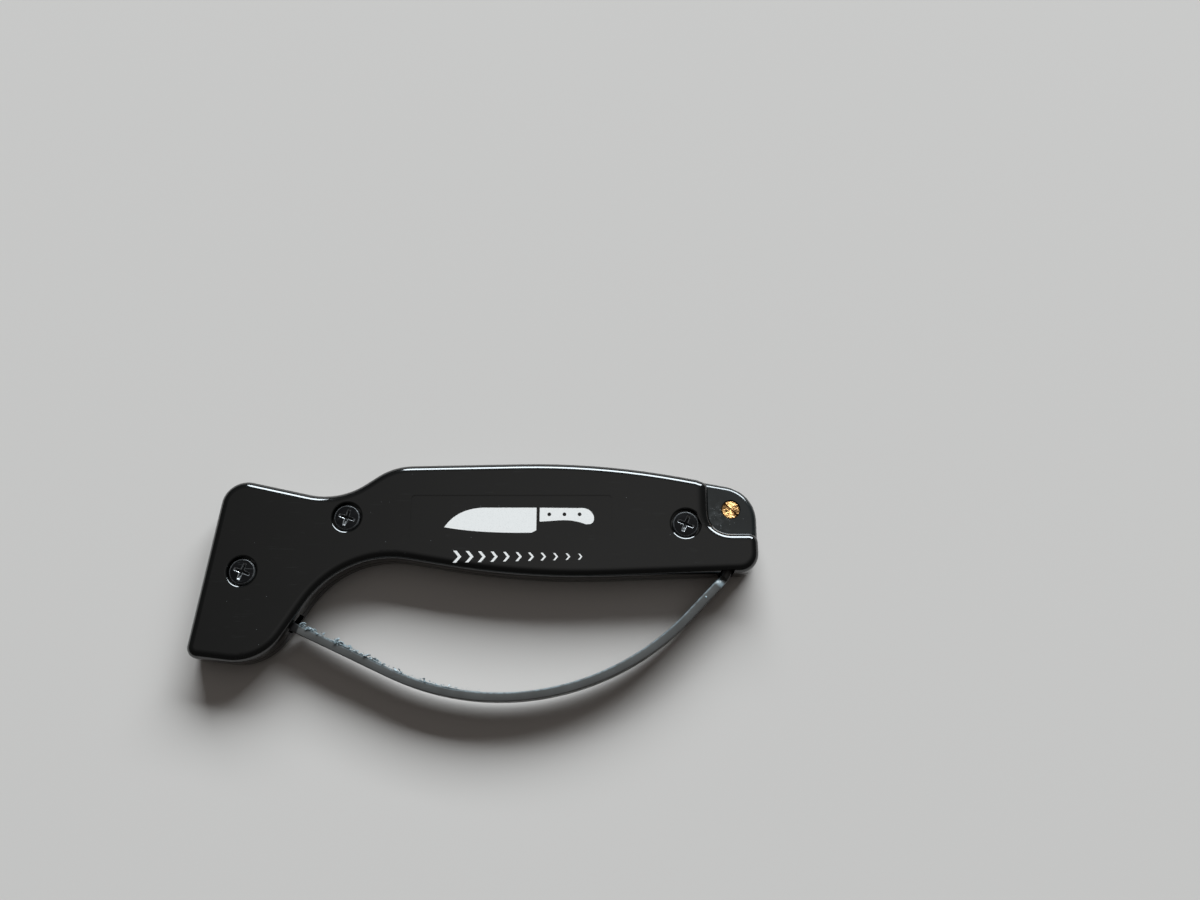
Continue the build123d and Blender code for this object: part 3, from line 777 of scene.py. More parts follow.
def guard_plastic(finish):
    """Satin grey plastic, with painted shade on the tongue where it goes into the pommel, a painted
    highlight across the bend to the nose, and pale wear on its inner edge that also paints part of that
    edge's highlight.
    """
    material = moulded_plastic(
        "satin_grey_guard",
        finish.guard,
        finish.flash,
        roughness=0.36,
        skin=1800.0,
        dust_share=0.06,
        scratch_share=1.0,
        bump=1e-5,
    )
    tree = material.node_tree
    shader = tree.nodes["Principled BSDF"]
    fresh = shader.inputs["Base Color"].links[0].from_socket
    place = tree.nodes["Texture Coordinate"].outputs["Object"]
    apart = put(tree, "ShaderNodeSeparateXYZ", {0: place}).outputs
    # Painted shade: the tongue, where the strip goes into the pommel, is darkened towards the black oxide
    # colour.
    tongue_shade_full, tongue_shade_end = -43.9 * MM, -43.3 * MM
    tongue_shade = spread(tree, apart["X"], tongue_shade_full, tongue_shade_end, 0.92, 0.0)
    tongue_shaded = tinted(tree, tongue_shade, fresh, finish.oxide)
    # Painted highlight: a pale band across the guard's front face where it bends down into the nose, kept to
    # the top so that it does not run down the side.
    painted_band_heading, painted_band_middle = math.radians(46.0), 41.1 * MM
    rise = {0: place, 1: (*pointing(painted_band_heading), 0.0)}
    rise = put(tree, "ShaderNodeVectorMath", rise, operation="DOT_PRODUCT").outputs["Value"]
    off_painted_band = work_out(tree, "ABSOLUTE", work_out(tree, "SUBTRACT", rise, painted_band_middle), 0.0)
    front = spread(tree, apart["Z"], GUARD_Z - 1.3 * MM, GUARD_Z - 0.7 * MM)
    rubbed = times(tree, spread(tree, off_painted_band, 0.2 * MM, 1.1 * MM, 0.8, 0.0), front)
    # Pale wear along the strip's inner top edge, which also paints part of that edge's highlight.
    edge = put(tree, "ShaderNodeAttribute", attribute_name="worn").outputs["Fac"]
    patchy = spread(tree, noise(tree, place, 900.0, 3.0), 0.35, 0.6, 0.15, 0.5)
    rubbed = larger(tree, rubbed, times(tree, spread(tree, edge, 0.84, 0.97), patchy))
    feed(tree, shader, Base_Color=tinted(tree, rubbed, tongue_shaded, finish.flash))
    return material


def flash_plastic(finish):
    """Torn plastic of the guard's flash and gate mark."""
    return moulded_plastic(
        "torn_grey_flash",
        finish.flash,
        finish.dust,
        roughness=0.35,
        skin=2600.0,
        dust_share=0.2,
        scratch_share=0.4,
        bump=8e-6,
    )


def turned_brass(finish):
    """Brass with a worn and dented face, turning marks round the clamp axis, and tarnish in its hollows."""
    material, tree, shader, place = new_material("turned_brass", {"Metallic": 1.0})
    moved = {"Vector": place, "Location": [-v for v in CLAMP_AXIS]}
    centred = put(tree, "ShaderNodeMapping", moved).outputs[0]
    marks = {"Vector": centred, "Scale": 2300.0, "Distortion": 1.2, "Detail": 2.0}
    rings = put(tree, "ShaderNodeTexWave", marks, wave_type="RINGS", rings_direction="Z").outputs["Fac"]
    scuffs = effect(tree, fine_scratches, place, Scale=4200.0, Amount=1.0)["Mask"]
    dents = noise(tree, place, 1500.0, 3.0)
    pits = spread(tree, dents, 0.46, 0.3)
    depth = put(tree, "ShaderNodeSeparateXYZ", {0: place}).outputs["Z"]
    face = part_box("clamp_screw")[1].z
    hollow = spread(tree, depth, face - 0.5 * MM, face - 0.12 * MM, 0.85, 0.0)
    dirt = larger(tree, hollow, times(tree, pits, 0.7))
    dirt = larger(tree, dirt, times(tree, scuffs, 0.4))
    feed(tree, shader, Base_Color=tinted(tree, dirt, finish.brass, finish.tarnish))
    feed(tree, shader, Roughness=spread(tree, dirt, 0.0, 1.0, 0.3, 0.5))
    height = plus(tree, times(tree, dents, 6.0), times(tree, rings, 0.5))
    height = work_out(tree, "SUBTRACT", height, times(tree, scuffs, 1.0))
    bumped(tree, shader, height, 4e-5)
    return material


def oxide_steel(finish):
    """Blackened steel, rubbed bare at the rim and where the driver has turned in the recess."""
    material, tree, shader, place = new_material("black_oxide_steel", {"Specular IOR Level": 0.25})
    wavy = effect(tree, moulded_skin, place, Scale=5200.0)
    scuffs = effect(tree, fine_scratches, place, Scale=4600.0, Amount=1.0)["Mask"]
    recess = put(tree, "ShaderNodeAttribute", attribute_name="rubbed").outputs["Fac"]
    recess = spread(tree, recess, 0.3, 0.75)
    rubbed = times(tree, recess, spread(tree, noise(tree, place, 2600.0), 0.4, 0.6, 0.45, 1.0))
    worn = larger(tree, rubbed, times(tree, scuffs, 0.15))
    feed(tree, shader, Base_Color=tinted(tree, worn, finish.oxide, finish.steel), Metallic=worn)
    feed(tree, shader, Roughness=spread(tree, wavy["Uneven"], 0.25, 0.75, 0.2, 0.34))
    bumped(tree, shader, wavy["Height"], 2e-6)
    return material


def ground_carbide(finish):
    """Carbide with fine grinding lines along the plates and a mottled sinter."""
    material, tree, shader, place = new_material("ground_carbide", {"Metallic": 1.0})
    stretch = {"Vector": place, "Rotation": (0, 0, math.radians(-48.0)), "Scale": (0.05, 1, 1)}
    lines = noise(tree, put(tree, "ShaderNodeMapping", stretch).outputs[0], 9000.0, 3.0)
    grain = noise(tree, place, 6000.0, 4.0)
    dark = [0.6 * c for c in finish.carbide]
    feed(tree, shader, Base_Color=tinted(tree, grain, dark, finish.carbide))
    feed(tree, shader, Roughness=spread(tree, lines, 0.3, 0.7, 0.24, 0.44))
    bumped(tree, shader, lines, 6e-6)
    return material


def white_ink(finish):
    """Screen-printed ink with a fine broken tone."""
    material, tree, shader, place = new_material("white_ink", {"IOR": 1.48})
    broken = spread(tree, noise(tree, place, 5200.0, 4.0), 0.3, 0.5)
    thin = [0.86 * c for c in finish.ink]
    feed(tree, shader, Base_Color=tinted(tree, broken, thin, finish.ink))
    feed(tree, shader, Roughness=spread(tree, broken, 0.0, 1.0, 0.52, 0.4))
    return material


def pale_floor(stage):
    """A plain matt floor with the faintest change of tone."""
    material, tree, shader, place = new_material("pale_floor", {"Specular IOR Level": 0.0})
    cloud = noise(tree, place, 5.0, 3.0)
    feed(tree, shader, Base_Color=tinted(tree, cloud, [0.985 * c for c in stage.floor], stage.floor))
    feed(tree, shader, Roughness=spread(tree, cloud, 0.3, 0.7, 0.7, 0.8))
    return material


def dress(node, material):
    """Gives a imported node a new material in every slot."""
    for slot in frame["nodes"][node].material_slots:
        slot.material = material


def hand_over(piece, body, material=None, replaces=()):
    """Finishes a piece: its material, the body it rides on and the nodes that it stands for."""
    if material is not None:
        piece.data.materials.clear()
        piece.data.materials.append(material)
    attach(piece, body)
    if replaces:
        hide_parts(*replaces)
    return piece


# Trees that place what repeats


def grown(piece, tree, values):
    """Runs a geometry tree on a piece with its named inputs set, and keeps the plain mesh."""
    grow = piece.modifiers.new(tree.name, "NODES")
    grow.node_group = tree
    for item in tree.interface.items_tree:
        if item.in_out == "INPUT" and item.name in values:
            grow[item.identifier] = values[item.name]
    return settle(piece)


def geometry_tree(name, inputs):
    """A geometry group with a Geometry input and output beside its own inputs."""
    sockets = {"Geometry": "NodeSocketGeometry", **inputs}
    return new_tree(name, "GeometryNodeTree", sockets, {"Geometry": "NodeSocketGeometry"})


def end_tree(tree, given, result, instances):
    """Ends a geometry tree in plain faces with one material."""
    plain = put(tree, "GeometryNodeRealizeInstances", {"Geometry": instances}).outputs[0]
    painted = put(tree, "GeometryNodeSetMaterial", {"Geometry": plain, "Material": given["Material"]})
    tree.links.new(painted.outputs[0], result["Geometry"])


def places_tree():
    """Sets a piece on each point, each one turned a little further than the one before."""
    inputs = {
        "Piece": "NodeSocketObject",
        "Turn": "NodeSocketFloat",
        "Turn Step": "NodeSocketFloat",
        "Material": "NodeSocketMaterial",
    }
    tree, given, result = geometry_tree("places", inputs)
    points = put(tree, "GeometryNodeMeshToPoints", {"Mesh": given["Geometry"]}).outputs[0]
    piece = put(tree, "GeometryNodeObjectInfo", {"Object": given["Piece"]}).outputs["Geometry"]
    number = tree.nodes.new("GeometryNodeInputIndex").outputs[0]
    angle = plus(tree, given["Turn"], times(tree, number, given["Turn Step"]))
    turned = put(tree, "ShaderNodeCombineXYZ", {"Z": angle}).outputs[0]
    placed = {"Points": points, "Instance": piece, "Rotation": turned}
    end_tree(tree, given, result, put(tree, "GeometryNodeInstanceOnPoints", placed).outputs[0])
    return tree


def chevron_row_tree():
    """Repeats a chevron along X, smaller towards the end of the row."""
    inputs = {
        "Chevron": "NodeSocketObject",
        "Count": "NodeSocketInt",
        "Pitch": "NodeSocketFloat",
        "Start": "NodeSocketVector",
        "Last": "NodeSocketFloat",
        "Material": "NodeSocketMaterial",
    }
    tree, given, result = geometry_tree("chevron_row", inputs)
    step = put(tree, "ShaderNodeCombineXYZ", {"X": given["Pitch"]}).outputs[0]
    row = {"Count": given["Count"], "Start Location": given["Start"], "Offset": step}
    points = put(tree, "GeometryNodeMeshLine", row).outputs[0]
    number = tree.nodes.new("GeometryNodeInputIndex").outputs[0]
    last = work_out(tree, "SUBTRACT", given["Count"], 1.0)
    sizes = {"Value": number, "From Max": last, "To Min": 1.0, "To Max": given["Last"]}
    size = put(tree, "ShaderNodeMapRange", sizes).outputs[0]
    scale = put(tree, "ShaderNodeCombineXYZ", {"X": size, "Y": size, "Z": 1.0}).outputs[0]
    mark = put(tree, "GeometryNodeObjectInfo", {"Object": given["Chevron"]}).outputs["Geometry"]
    placed = {"Points": points, "Instance": mark, "Scale": scale}
    end_tree(tree, given, result, put(tree, "GeometryNodeInstanceOnPoints", placed).outputs[0])
    return tree


def edge_flash_tree():
    """A ragged bead along an edge, a straight run and then a bow, with torn flakes strewn on it."""
    inputs = {
        "Flake": "NodeSocketObject",
        "Run Start": "NodeSocketVector",
        "Run End": "NodeSocketVector",
        "Bow Middle": "NodeSocketVector",
        "Bow End": "NodeSocketVector",
        "Bead Radius": "NodeSocketFloat",
        "Count": "NodeSocketInt",
        "Stray": "NodeSocketFloat",
        "Seed": "NodeSocketInt",
        "Material": "NodeSocketMaterial",
    }
    tree, given, result = geometry_tree("edge_flash", inputs)
    run_ends = {"Start": given["Run Start"], "End": given["Run End"]}
    run = put(tree, "GeometryNodeCurvePrimitiveLine", run_ends).outputs[0]
    bow_points = {"Start": given["Run End"], "Middle": given["Bow Middle"], "End": given["Bow End"]}
    bow = put(tree, "GeometryNodeCurveArc", bow_points, mode="POINTS").outputs[0]
    edge = put(tree, "GeometryNodeJoinGeometry")
    for part in (run, bow):
        tree.links.new(part, edge.inputs[0])
    where = tree.nodes.new("GeometryNodeInputPosition").outputs[0]
    ragged = spread(tree, noise(tree, where, 900.0, 4.0), 0.34, 0.66, 0.2, 1.5)
    along = put(tree, "ShaderNodeSeparateXYZ", {0: where}).outputs["X"]
    first = put(tree, "ShaderNodeSeparateXYZ", {0: given["Run Start"]}).outputs["X"]
    last = put(tree, "ShaderNodeSeparateXYZ", {0: given["Bow End"]}).outputs["X"]
    fade = {"Value": along, "From Min": first, "From Max": last, "To Min": 1.0, "To Max": 0.2}
    fade = put(tree, "ShaderNodeMapRange", fade).outputs[0]
    fine = times(tree, given["Count"], 3.0)
    line = put(tree, "GeometryNodeResampleCurve", {"Curve": edge.outputs[0], "Count": fine}).outputs[0]
    ring = {"Resolution": 7, "Radius": given["Bead Radius"]}
    ring = put(tree, "GeometryNodeCurvePrimitiveCircle", ring).outputs[0]
    cluster = spread(tree, noise(tree, where, 190.0, 2.0), 0.36, 0.62, 0.35, 1.25)
    thick = times(tree, times(tree, ragged, fade), cluster)
    bead = {"Curve": line, "Profile Curve": ring, "Scale": thick, "Fill Caps": True}
    bead = put(tree, "GeometryNodeCurveToMesh", bead).outputs[0]
    spots = {"Curve": edge.outputs[0], "Count": given["Count"]}
    spots = put(tree, "GeometryNodeCurveToPoints", spots).outputs
    seed = given["Seed"]
    stray = {"Seed": seed}
    for end, corner in enumerate(((-1, -0.2, -1), (1, 1.5, 0.5))):
        scaled = {0: corner, "Scale": given["Stray"]}
        stray[end] = put(tree, "ShaderNodeVectorMath", scaled, operation="SCALE").outputs[0]
    shift = put(tree, "FunctionNodeRandomValue", stray, data_type="FLOAT_VECTOR").outputs[0]
    moved = put(tree, "GeometryNodeSetPosition", {"Geometry": spots["Points"], "Offset": shift}).outputs[0]
    turns = {0: (-1.2, -0.5, -1.3), 1: (1.2, 0.5, 1.3), "Seed": seed}
    spin = put(tree, "FunctionNodeRandomValue", turns, data_type="FLOAT_VECTOR").outputs[0]
    way = put(tree, "FunctionNodeAlignRotationToVector", {"Vector": spots["Tangent"]}, axis="X").outputs[0]
    lay = {"Rotation": way, "Rotate By": spin}
    lay = put(tree, "FunctionNodeRotateRotation", lay, rotation_space="LOCAL").outputs[0]
    chance = put(tree, "FunctionNodeRandomValue", {2: 0.15, 3: 1.0, "Seed": seed}).outputs[1]
    size = times(tree, work_out(tree, "POWER", chance, 1.4), times(tree, fade, cluster))
    flake = put(tree, "GeometryNodeObjectInfo", {"Object": given["Flake"]}).outputs["Geometry"]
    placed = {"Points": moved, "Instance": flake, "Rotation": lay, "Scale": size}
    flakes = put(tree, "GeometryNodeInstanceOnPoints", placed).outputs[0]
    both = put(tree, "GeometryNodeJoinGeometry")
    for part in (bead, flakes):
        tree.links.new(part, both.inputs[0])
    end_tree(tree, given, result, both.outputs[0])
    return tree


# Operators, one for each piece or group of like pieces


def settings():
    """The scene's sharpener settings."""
    return bpy.context.scene.sharpener


class SHARPENER_OT_shells(bpy.types.Operator):
    """Finish both shells in scuffed gloss black"""

    bl_idname = "sharpener.shells"
    bl_label = "Finish Shells"

    def execute(self, context):
        plastic = shell_plastic(settings().finish)
        dress("front_shell", plastic)
        dress("rear_shell", plastic)
        return {"FINISHED"}


class SHARPENER_OT_block(bpy.types.Operator):
    """Finish the cutter block in dusty blue black"""

    bl_idname = "sharpener.block"
    bl_label = "Finish Cutter Block"

    def execute(self, context):
        dress("cutter_block", block_plastic(settings().finish))
        return {"FINISHED"}


class SHARPENER_OT_plates(bpy.types.Operator):
    """Replace the two carbide plates by ones with ground edges"""

    bl_idname = "sharpener.plates"
    bl_label = "Add Carbide Plates"

    def execute(self, context):
        carbide = ground_carbide(settings().finish)
        for node in ("carbide_upper", "carbide_lower"):
            plate = soften(merged_copy(node, node + "_ground"), PLATE_EDGE)
            hand_over(plate, "handle", carbide, [node])
        return {"FINISHED"}


class SHARPENER_OT_guard(bpy.types.Operator):
    """Replace the guard by one with soft edges, and add the mark of its moulding gate"""

    bl_idname = "sharpener.guard"
    bl_label = "Add Guard"

    def execute(self, context):
        sizes = settings().guard
        strip = swept_guard("guard_strip", sizes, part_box("finger_guard")[0].z, GUARD_Z)
        evened(smooth(strip, 58.0))
        hand_over(strip, "guard", guard_plastic(settings().finish), ["finger_guard"])

        def build(shape):
            bmesh.ops.create_uvsphere(shape, u_segments=20, v_segments=12, radius=1.0)
            squash = Matrix.Diagonal((sizes.gate_radius, sizes.gate_radius, sizes.gate_height, 1.0))
            placed = Matrix.Translation(sizes.gate_place) @ squash
            bmesh.ops.transform(shape, matrix=placed, verts=shape.verts)

        mark = smooth(shape_from("guard_gate_mark", build), 60.0)
        hand_over(mark, "guard", flash_plastic(settings().finish))
        return {"FINISHED"}


class SHARPENER_OT_flash(bpy.types.Operator):
    """Strew torn flakes of moulding flash along the guard's inner edge"""

    bl_idname = "sharpener.flash"
    bl_label = "Add Guard Flash"

    def execute(self, context):
        sizes = settings().guard
        run_way = Vector((math.cos(sizes.slope), -math.sin(sizes.slope), 0.0))
        inward = Vector((math.sin(sizes.slope), math.cos(sizes.slope), 0.0))
        edge = Vector((sizes.root[0], sizes.root[1], GUARD_Z)) + inward * sizes.thickness / 2
        run_end = edge + run_way * sizes.run_length
        reach = sizes.bow_radius - sizes.thickness / 2
        bow_points = []
        for part in (0.5, 1.0):
            angle = part * sizes.flash_sweep
            onward, inside = reach * math.sin(angle), reach * (1 - math.cos(angle))
            bow_points.append(run_end + run_way * onward + inward * inside)

        def build(shape):
            long, wide, thin = sizes.flake_size, 0.45 * sizes.flake_size, 0.07 * sizes.flake_size
            outline = ((-0.5, -0.3), (0.1, -0.5), (0.5, -0.1), (0.35, 0.3), (-0.05, 0.5), (-0.4, 0.25))
            lower = [shape.verts.new((x * long, y * wide, x * x * wide)) for x, y in outline]
            upper = [shape.verts.new((0.8 * v.co.x, 0.8 * v.co.y, v.co.z + thin)) for v in lower]
            loft(shape, [lower, upper])

        flake = shape_from("flake", build)
        values = {
            "Flake": flake,
            "Run Start": edge + run_way * sizes.flash_start,
            "Run End": run_end,
            "Bow Middle": bow_points[0],
            "Bow End": bow_points[1],
            "Bead Radius": sizes.bead_radius,
            "Count": sizes.flake_count // 2,  # half on the run, half on the bow
            "Stray": sizes.stray,
            "Seed": sizes.flake_seed,
            "Material": flash_plastic(settings().finish),
        }
        flash = new_piece("guard_flash", bpy.data.meshes.new("guard_flash"))
        grown(flash, edge_flash_tree(), values)
        drop(flake)
        hand_over(flash, "guard")
        return {"FINISHED"}


class SHARPENER_OT_case_screws(bpy.types.Operator):
    """Replace the three case screws by pan heads with a tapered cross recess"""

    bl_idname = "sharpener.case_screws"
    bl_label = "Add Case Screws"

    def execute(self, context):
        sizes = settings().screws
        low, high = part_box(CASE_SCREWS[0])
        radius = (high.x - low.x) / 2
        screw = turned_screw("case_screw", sizes, radius, low.z, high.z, 64)
        for quarter in (0, 90):
            long, wide = sizes.cross_length, sizes.cross_width
            levels = [(0.24 * long, 0.42 * wide, high.z - sizes.cross_depth)]
            levels.append((0.74 * long, 0.75 * wide, high.z - 0.6 * sizes.cross_depth))
            levels.append((long, wide, high.z - sizes.flare_depth))
            levels.append((long + sizes.flare_width, wide + 2 * sizes.flare_width, high.z + OVERCUT))
            wing = stacked("wing", levels)
            wing.data.transform(Matrix.Rotation(math.radians(quarter), 4, "Z"))
            carve(screw, wing)
        tip = high.z - sizes.pit_depth
        pit_rows = [(0.02 * MM, tip), (0.85 * sizes.pit_radius, tip + 0.5 * sizes.pit_radius)]
        pit_rows.append((sizes.pit_radius, high.z + OVERCUT))
        carve(screw, lathe("pit", pit_rows, 32))
        soften(screw, sizes.soft_edge)
        rubbed = screw.data.attributes.new("rubbed", "FLOAT", "POINT")
        edge_wear, inside_wear, rim_wear = 1.0, 0.38, 0.45
        recess_reach, recess_top, recess_floor = 0.58 * sizes.cross_length, 0.02 * MM, 1.8 * MM
        for vertex, value in zip(screw.data.vertices, rubbed.data):
            off_axis = vertex.co.xy.length
            dome = sizes.head_crown * (off_axis / (radius - sizes.head_edge)) ** 2
            depth = high.z - dome - vertex.co.z
            in_recess = off_axis < recess_reach and recess_top < depth < recess_floor
            spread_edge = depth < 1.6 * sizes.flare_depth
            on_rim = off_axis > radius - 0.8 * sizes.head_edge and depth < sizes.head_edge
            if in_recess:
                value.value = edge_wear if spread_edge else inside_wear
            elif on_rim:
                value.value = rim_wear
        values = {
            "Piece": screw,
            "Turn": sizes.cross_turn,
            "Turn Step": sizes.turn_step,
            "Material": oxide_steel(settings().finish),
        }
        screws = grown(screw_points("case_screws"), places_tree(), values)
        drop(screw)
        hand_over(screws, "handle", None, CASE_SCREWS)
        return {"FINISHED"}


class SHARPENER_OT_recess_rims(bpy.types.Operator):
    """Add the sloping rims of the screws' counterbores"""

    bl_idname = "sharpener.recess_rims"
    bl_label = "Add Recess Rims"

    def execute(self, context):
        sizes = settings().screws
        outer, inner = sizes.rim_radius, sizes.rim_radius - sizes.rim_width
        loop = []
        for part in shares(8):
            loop.append((outer - sizes.rim_width * part, FACE_Z - sizes.rim_drop * part ** 1.4))
        loop.append((inner - sizes.rim_foot, FACE_Z - 1.5 * sizes.rim_drop))
        loop.append((inner - sizes.rim_foot, FACE_Z - sizes.rim_depth))
        loop.append((outer, FACE_Z - sizes.rim_depth))
        rim = smooth(shape_from("rim", lambda shape: add_hoop(shape, loop, 72)), 50.0)
        values = {"Piece": rim, "Material": shell_plastic(settings().finish)}
        rims = grown(screw_points("recess_rims"), places_tree(), values)
        drop(rim)
        hand_over(rims, "handle")
        return {"FINISHED"}


class SHARPENER_OT_step_lip(bpy.types.Operator):
    """Add the rounded lip of the shell over the edge of the cutter block"""

    bl_idname = "sharpener.step_lip"
    bl_label = "Add Step Lip"

    def execute(self, context):
        sizes = settings().lip
        corner = Vector((sizes.edge_x - sizes.outer_round, sizes.straight_high))
        hollow = Vector((sizes.edge_x + sizes.inner_round, sizes.straight_low))
        path = []
        for part in shares(12):
            way = pointing(sizes.corner_sweep * (1 - part))
            path.append((corner + sizes.outer_round * way, way, part * part * (3 - 2 * part)))
        for part in shares(16):
            way = pointing(sizes.hollow_sweep * part)
            path.append((hollow - sizes.inner_round * way, way, (1 - part) ** 2 * (1 + 2 * part)))
        round_size = sizes.face_round

        def build(shape):
            rings = []
            for edge, way, fullness in path:
                reach = sizes.width * fullness
                sink = sizes.end_sink * (1 - fullness) + sizes.root_sink
                outline = []
                for part in shares(14):
                    angle = part * math.pi / 2
                    out = (round_size + reach) * math.sin(angle) - round_size
                    outline.append((out, round_size * (math.cos(angle) - 1)))
                outline += [(reach, -sizes.depth), (-round_size, -sizes.depth)]
                ring = [(*(edge + (out - sink) * way), FACE_Z + z - sink) for out, z in outline]
                rings.append([shape.verts.new(point) for point in ring])
            loft(shape, rings)
            bmesh.ops.recalc_face_normals(shape, faces=shape.faces)

        lip = smooth(shape_from("step_lip", build), 45.0)
        hand_over(lip, "handle", shell_plastic(settings().finish))
        return {"FINISHED"}


class SHARPENER_OT_clamp(bpy.types.Operator):
    """Replace the clamp screw and its nut by turned brass ones"""

    bl_idname = "sharpener.clamp"
    bl_label = "Add Clamp Screw"

    def execute(self, context):
        sizes = settings().clamp
        brass = turned_brass(settings().finish)
        low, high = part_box("clamp_screw")
        screw = turned_screw("clamp_screw_turned", sizes, sizes.head_radius, low.z, high.z, 72)
        across = 4 * sizes.head_radius
        ends = (high.z - sizes.slot_depth, high.z + 1.0 * MM)
        lift = Matrix.Translation((0.0, 0.0, high.z))
        for tilt in sizes.slot_tilts:
            slot = stacked("slot", [(across, sizes.slot_width, end) for end in ends])
            tilted = lift @ Matrix.Rotation(tilt, 4, "Y") @ lift.inverted()
            slot.data.transform(Matrix.Rotation(sizes.slot_turn, 4, "Z") @ tilted)
            carve(screw, slot)
        long, wide, deep = sizes.dent_size
        levels = [(0.6 * long, 0.25 * wide, high.z - deep), (long, wide, high.z + 5 * OVERCUT)]
        dent = stacked("dent", levels)
        beside = Matrix.Translation((sizes.dent_place, 0.0, 0.0))
        dent.data.transform(Matrix.Rotation(sizes.dent_turn, 4, "Z") @ beside)
        soften(carve(screw, dent), sizes.soft_edge, 50.0)
        screw.data.transform(Matrix.Translation((CLAMP_AXIS[0], CLAMP_AXIS[1], 0.0)))
        hand_over(screw, "clamp", brass, ["clamp_screw"])
        nut = soften(merged_copy("clamp_nut", "clamp_nut_hex"), sizes.soft_edge)
        hand_over(nut, "handle", brass, ["clamp_nut"])
        return {"FINISHED"}


class SHARPENER_OT_print(bpy.types.Operator):
    """Print a plain knife in the panel and a row of chevrons under it"""

    bl_idname = "sharpener.print"
    bl_label = "Add Print"

    def execute(self, context):
        sizes = settings().print
        ink = white_ink(settings().finish)
        blade = [Vector((0.0, 2.7)), *bend((-13.5, 2.7), (-20.0, 2.4), (-23.0, -2.3))]
        blade += bend((-23.0, -2.3), (-14.5, -3.9), (-1.2, -3.7))
        blade += [Vector((-1.2, -3.7)), Vector((0.0, -3.1))]
        grip = [Vector((0.8, -0.9)), *bend((5.0, -0.6), (9.0, -0.2), (12.2, -1.5))]
        grip += bend((12.2, -1.5), (14.6, -1.9), (14.4, 0.4))
        grip += bend((14.4, 0.4), (13.6, 2.9), (10.5, 2.6))
        grip += [Vector((10.5, 2.6)), Vector((0.8, 2.7))]
        rivets = [circle((x, 1.0), 0.48) for x in (3.2, 7.0, 10.8)]
        knife = flat_ink("print_knife", [blade, grip, *rivets], sizes.ink_depth)
        knife_z = FACE_Z - sizes.panel_depth
        knife.data.transform(Matrix.Translation((sizes.knife_place[0], sizes.knife_place[1], knife_z)))
        hand_over(knife, "handle", ink)
        outline = ((0.0, 1.5), (0.85, 1.5), (2.1, 0.0), (0.85, -1.5), (0.0, -1.5), (1.25, 0.0))
        chevron = flat_ink("chevron", [outline], sizes.ink_depth)
        values = {
            "Chevron": chevron,
            "Count": sizes.row_count,
            "Pitch": sizes.row_pitch,
            "Start": (sizes.row_place[0], sizes.row_place[1], FACE_Z),
            "Last": sizes.row_last,
            "Material": ink,
        }
        row = new_piece("print_chevrons", bpy.data.meshes.new("print_chevrons"))
        grown(row, chevron_row_tree(), values)
        drop(chevron)
        hand_over(row, "handle")
        return {"FINISHED"}


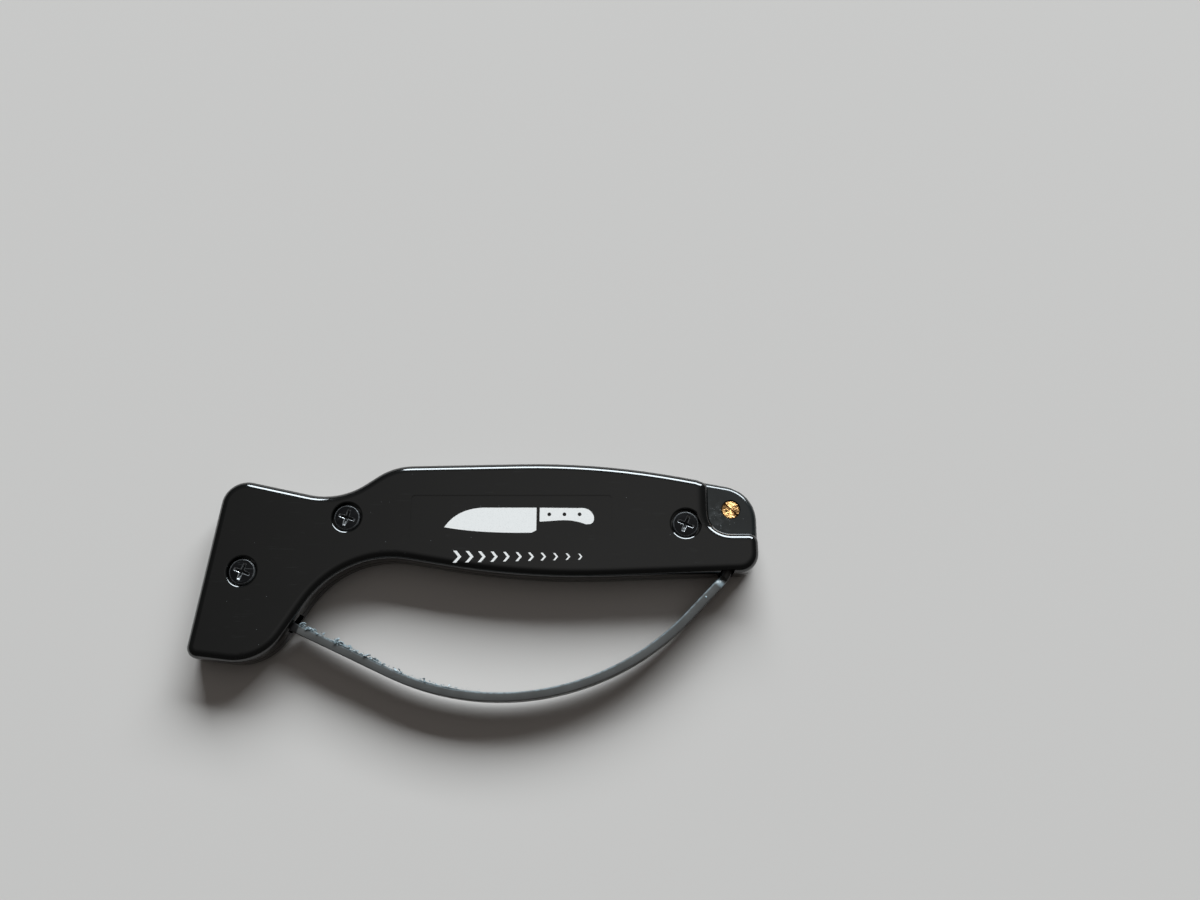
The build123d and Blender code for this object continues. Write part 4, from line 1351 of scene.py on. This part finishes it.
class SHARPENER_OT_stage(bpy.types.Operator):
    """Set the floor, the soft light, the sky and the camera"""

    bl_idname = "sharpener.stage"
    bl_label = "Set Stage"

    def execute(self, context):
        sizes = settings().stage
        scene = context.scene
        half = sizes.floor_size / 2

        def build(shape):
            corners = ((-half, -half), (half, -half), (half, half), (-half, half))
            shape.faces.new([shape.verts.new((x, y, 0.0)) for x, y in corners])

        floor = shape_from("floor", build)
        floor.data.materials.append(pale_floor(sizes))

        window = bpy.data.lights.new("window", "AREA")
        window.shape = "RECTANGLE"
        window.size = sizes.window_width
        window.size_y = sizes.window_height
        window.energy = sizes.window_power
        window.color = sizes.window_tint
        bearing = Matrix.Rotation(-sizes.window_turn, 4, "Z")
        away = Matrix.Translation((0.0, sizes.window_distance, sizes.window_sill + sizes.window_height / 2))
        window_piece = bpy.data.objects.new("window", window)
        window_piece.matrix_world = bearing @ away @ Matrix.Rotation(math.radians(-90), 4, "X")
        scene.collection.objects.link(window_piece)

        sky = bpy.data.worlds.new("studio")
        sky.use_nodes = True
        tree = sky.node_tree
        way = tree.nodes.new("ShaderNodeTexCoord").outputs["Generated"]
        patch = {0: way, 1: Vector(sizes.sky_patch).normalized()}
        near = put(tree, "ShaderNodeVectorMath", patch, operation="DOT_PRODUCT").outputs["Value"]
        high = work_out(tree, "POWER", larger(tree, near, 0.0), sizes.sky_fall)
        light = plus(tree, times(tree, high, sizes.sky_top), sizes.sky_rim)
        tree.links.new(light, tree.nodes["Background"].inputs["Strength"])
        tree.nodes["Background"].inputs["Color"].default_value = (*sizes.sky_tint, 1.0)
        scene.world = sky

        camera = bpy.data.cameras.new("camera")
        camera.lens = sizes.lens
        camera.sensor_width = 36.0
        camera.clip_start = 0.01
        camera_piece = bpy.data.objects.new("camera", camera)
        camera_piece.location = sizes.camera_place
        camera_piece.rotation_euler = (sizes.camera_tilt, 0.0, 0.0)
        scene.collection.objects.link(camera_piece)
        scene.camera = camera_piece
        scene.view_settings.view_transform = "Standard"
        return {"FINISHED"}


class SHARPENER_PT_panel(bpy.types.Panel):
    """Lists the sharpener's steps and settings"""

    bl_idname = "SHARPENER_PT_panel"
    bl_label = "Sharpener"
    bl_space_type = "VIEW_3D"
    bl_region_type = "UI"
    bl_category = "Sharpener"

    def draw(self, context):
        for step in STEPS:
            self.layout.operator(step.bl_idname)
        for part in GROUPS:
            group = getattr(context.scene.sharpener, part)
            box = self.layout.box()
            box.label(text=part.capitalize())
            for label in group.__annotations__:
                box.prop(group, label)


GROUPS = tuple(SharpenerSettings.__annotations__)
STEPS = (
    SHARPENER_OT_shells,
    SHARPENER_OT_block,
    SHARPENER_OT_plates,
    SHARPENER_OT_guard,
    SHARPENER_OT_flash,
    SHARPENER_OT_case_screws,
    SHARPENER_OT_recess_rims,
    SHARPENER_OT_step_lip,
    SHARPENER_OT_clamp,
    SHARPENER_OT_print,
    SHARPENER_OT_stage,
)
CLASSES = (
    SharpenerFinish,
    CaseScrewSizes,
    LipSizes,
    ClampSizes,
    GuardSizes,
    PrintSizes,
    StageSizes,
    SharpenerSettings,
    *STEPS,
    SHARPENER_PT_panel,
)


def register():
    for cls in CLASSES:
        bpy.utils.register_class(cls)
    bpy.types.Scene.sharpener = PointerProperty(type=SharpenerSettings)


def unregister():
    del bpy.types.Scene.sharpener
    for cls in reversed(CLASSES):
        bpy.utils.unregister_class(cls)


def main():
    register()
    bpy.ops.sharpener.shells()
    bpy.ops.sharpener.block()
    bpy.ops.sharpener.plates()
    bpy.ops.sharpener.guard()
    bpy.ops.sharpener.flash()
    bpy.ops.sharpener.case_screws()
    bpy.ops.sharpener.recess_rims()
    bpy.ops.sharpener.step_lip()
    bpy.ops.sharpener.clamp()
    bpy.ops.sharpener.print()
    bpy.ops.sharpener.stage()


if __name__ == "__main__":
    main()
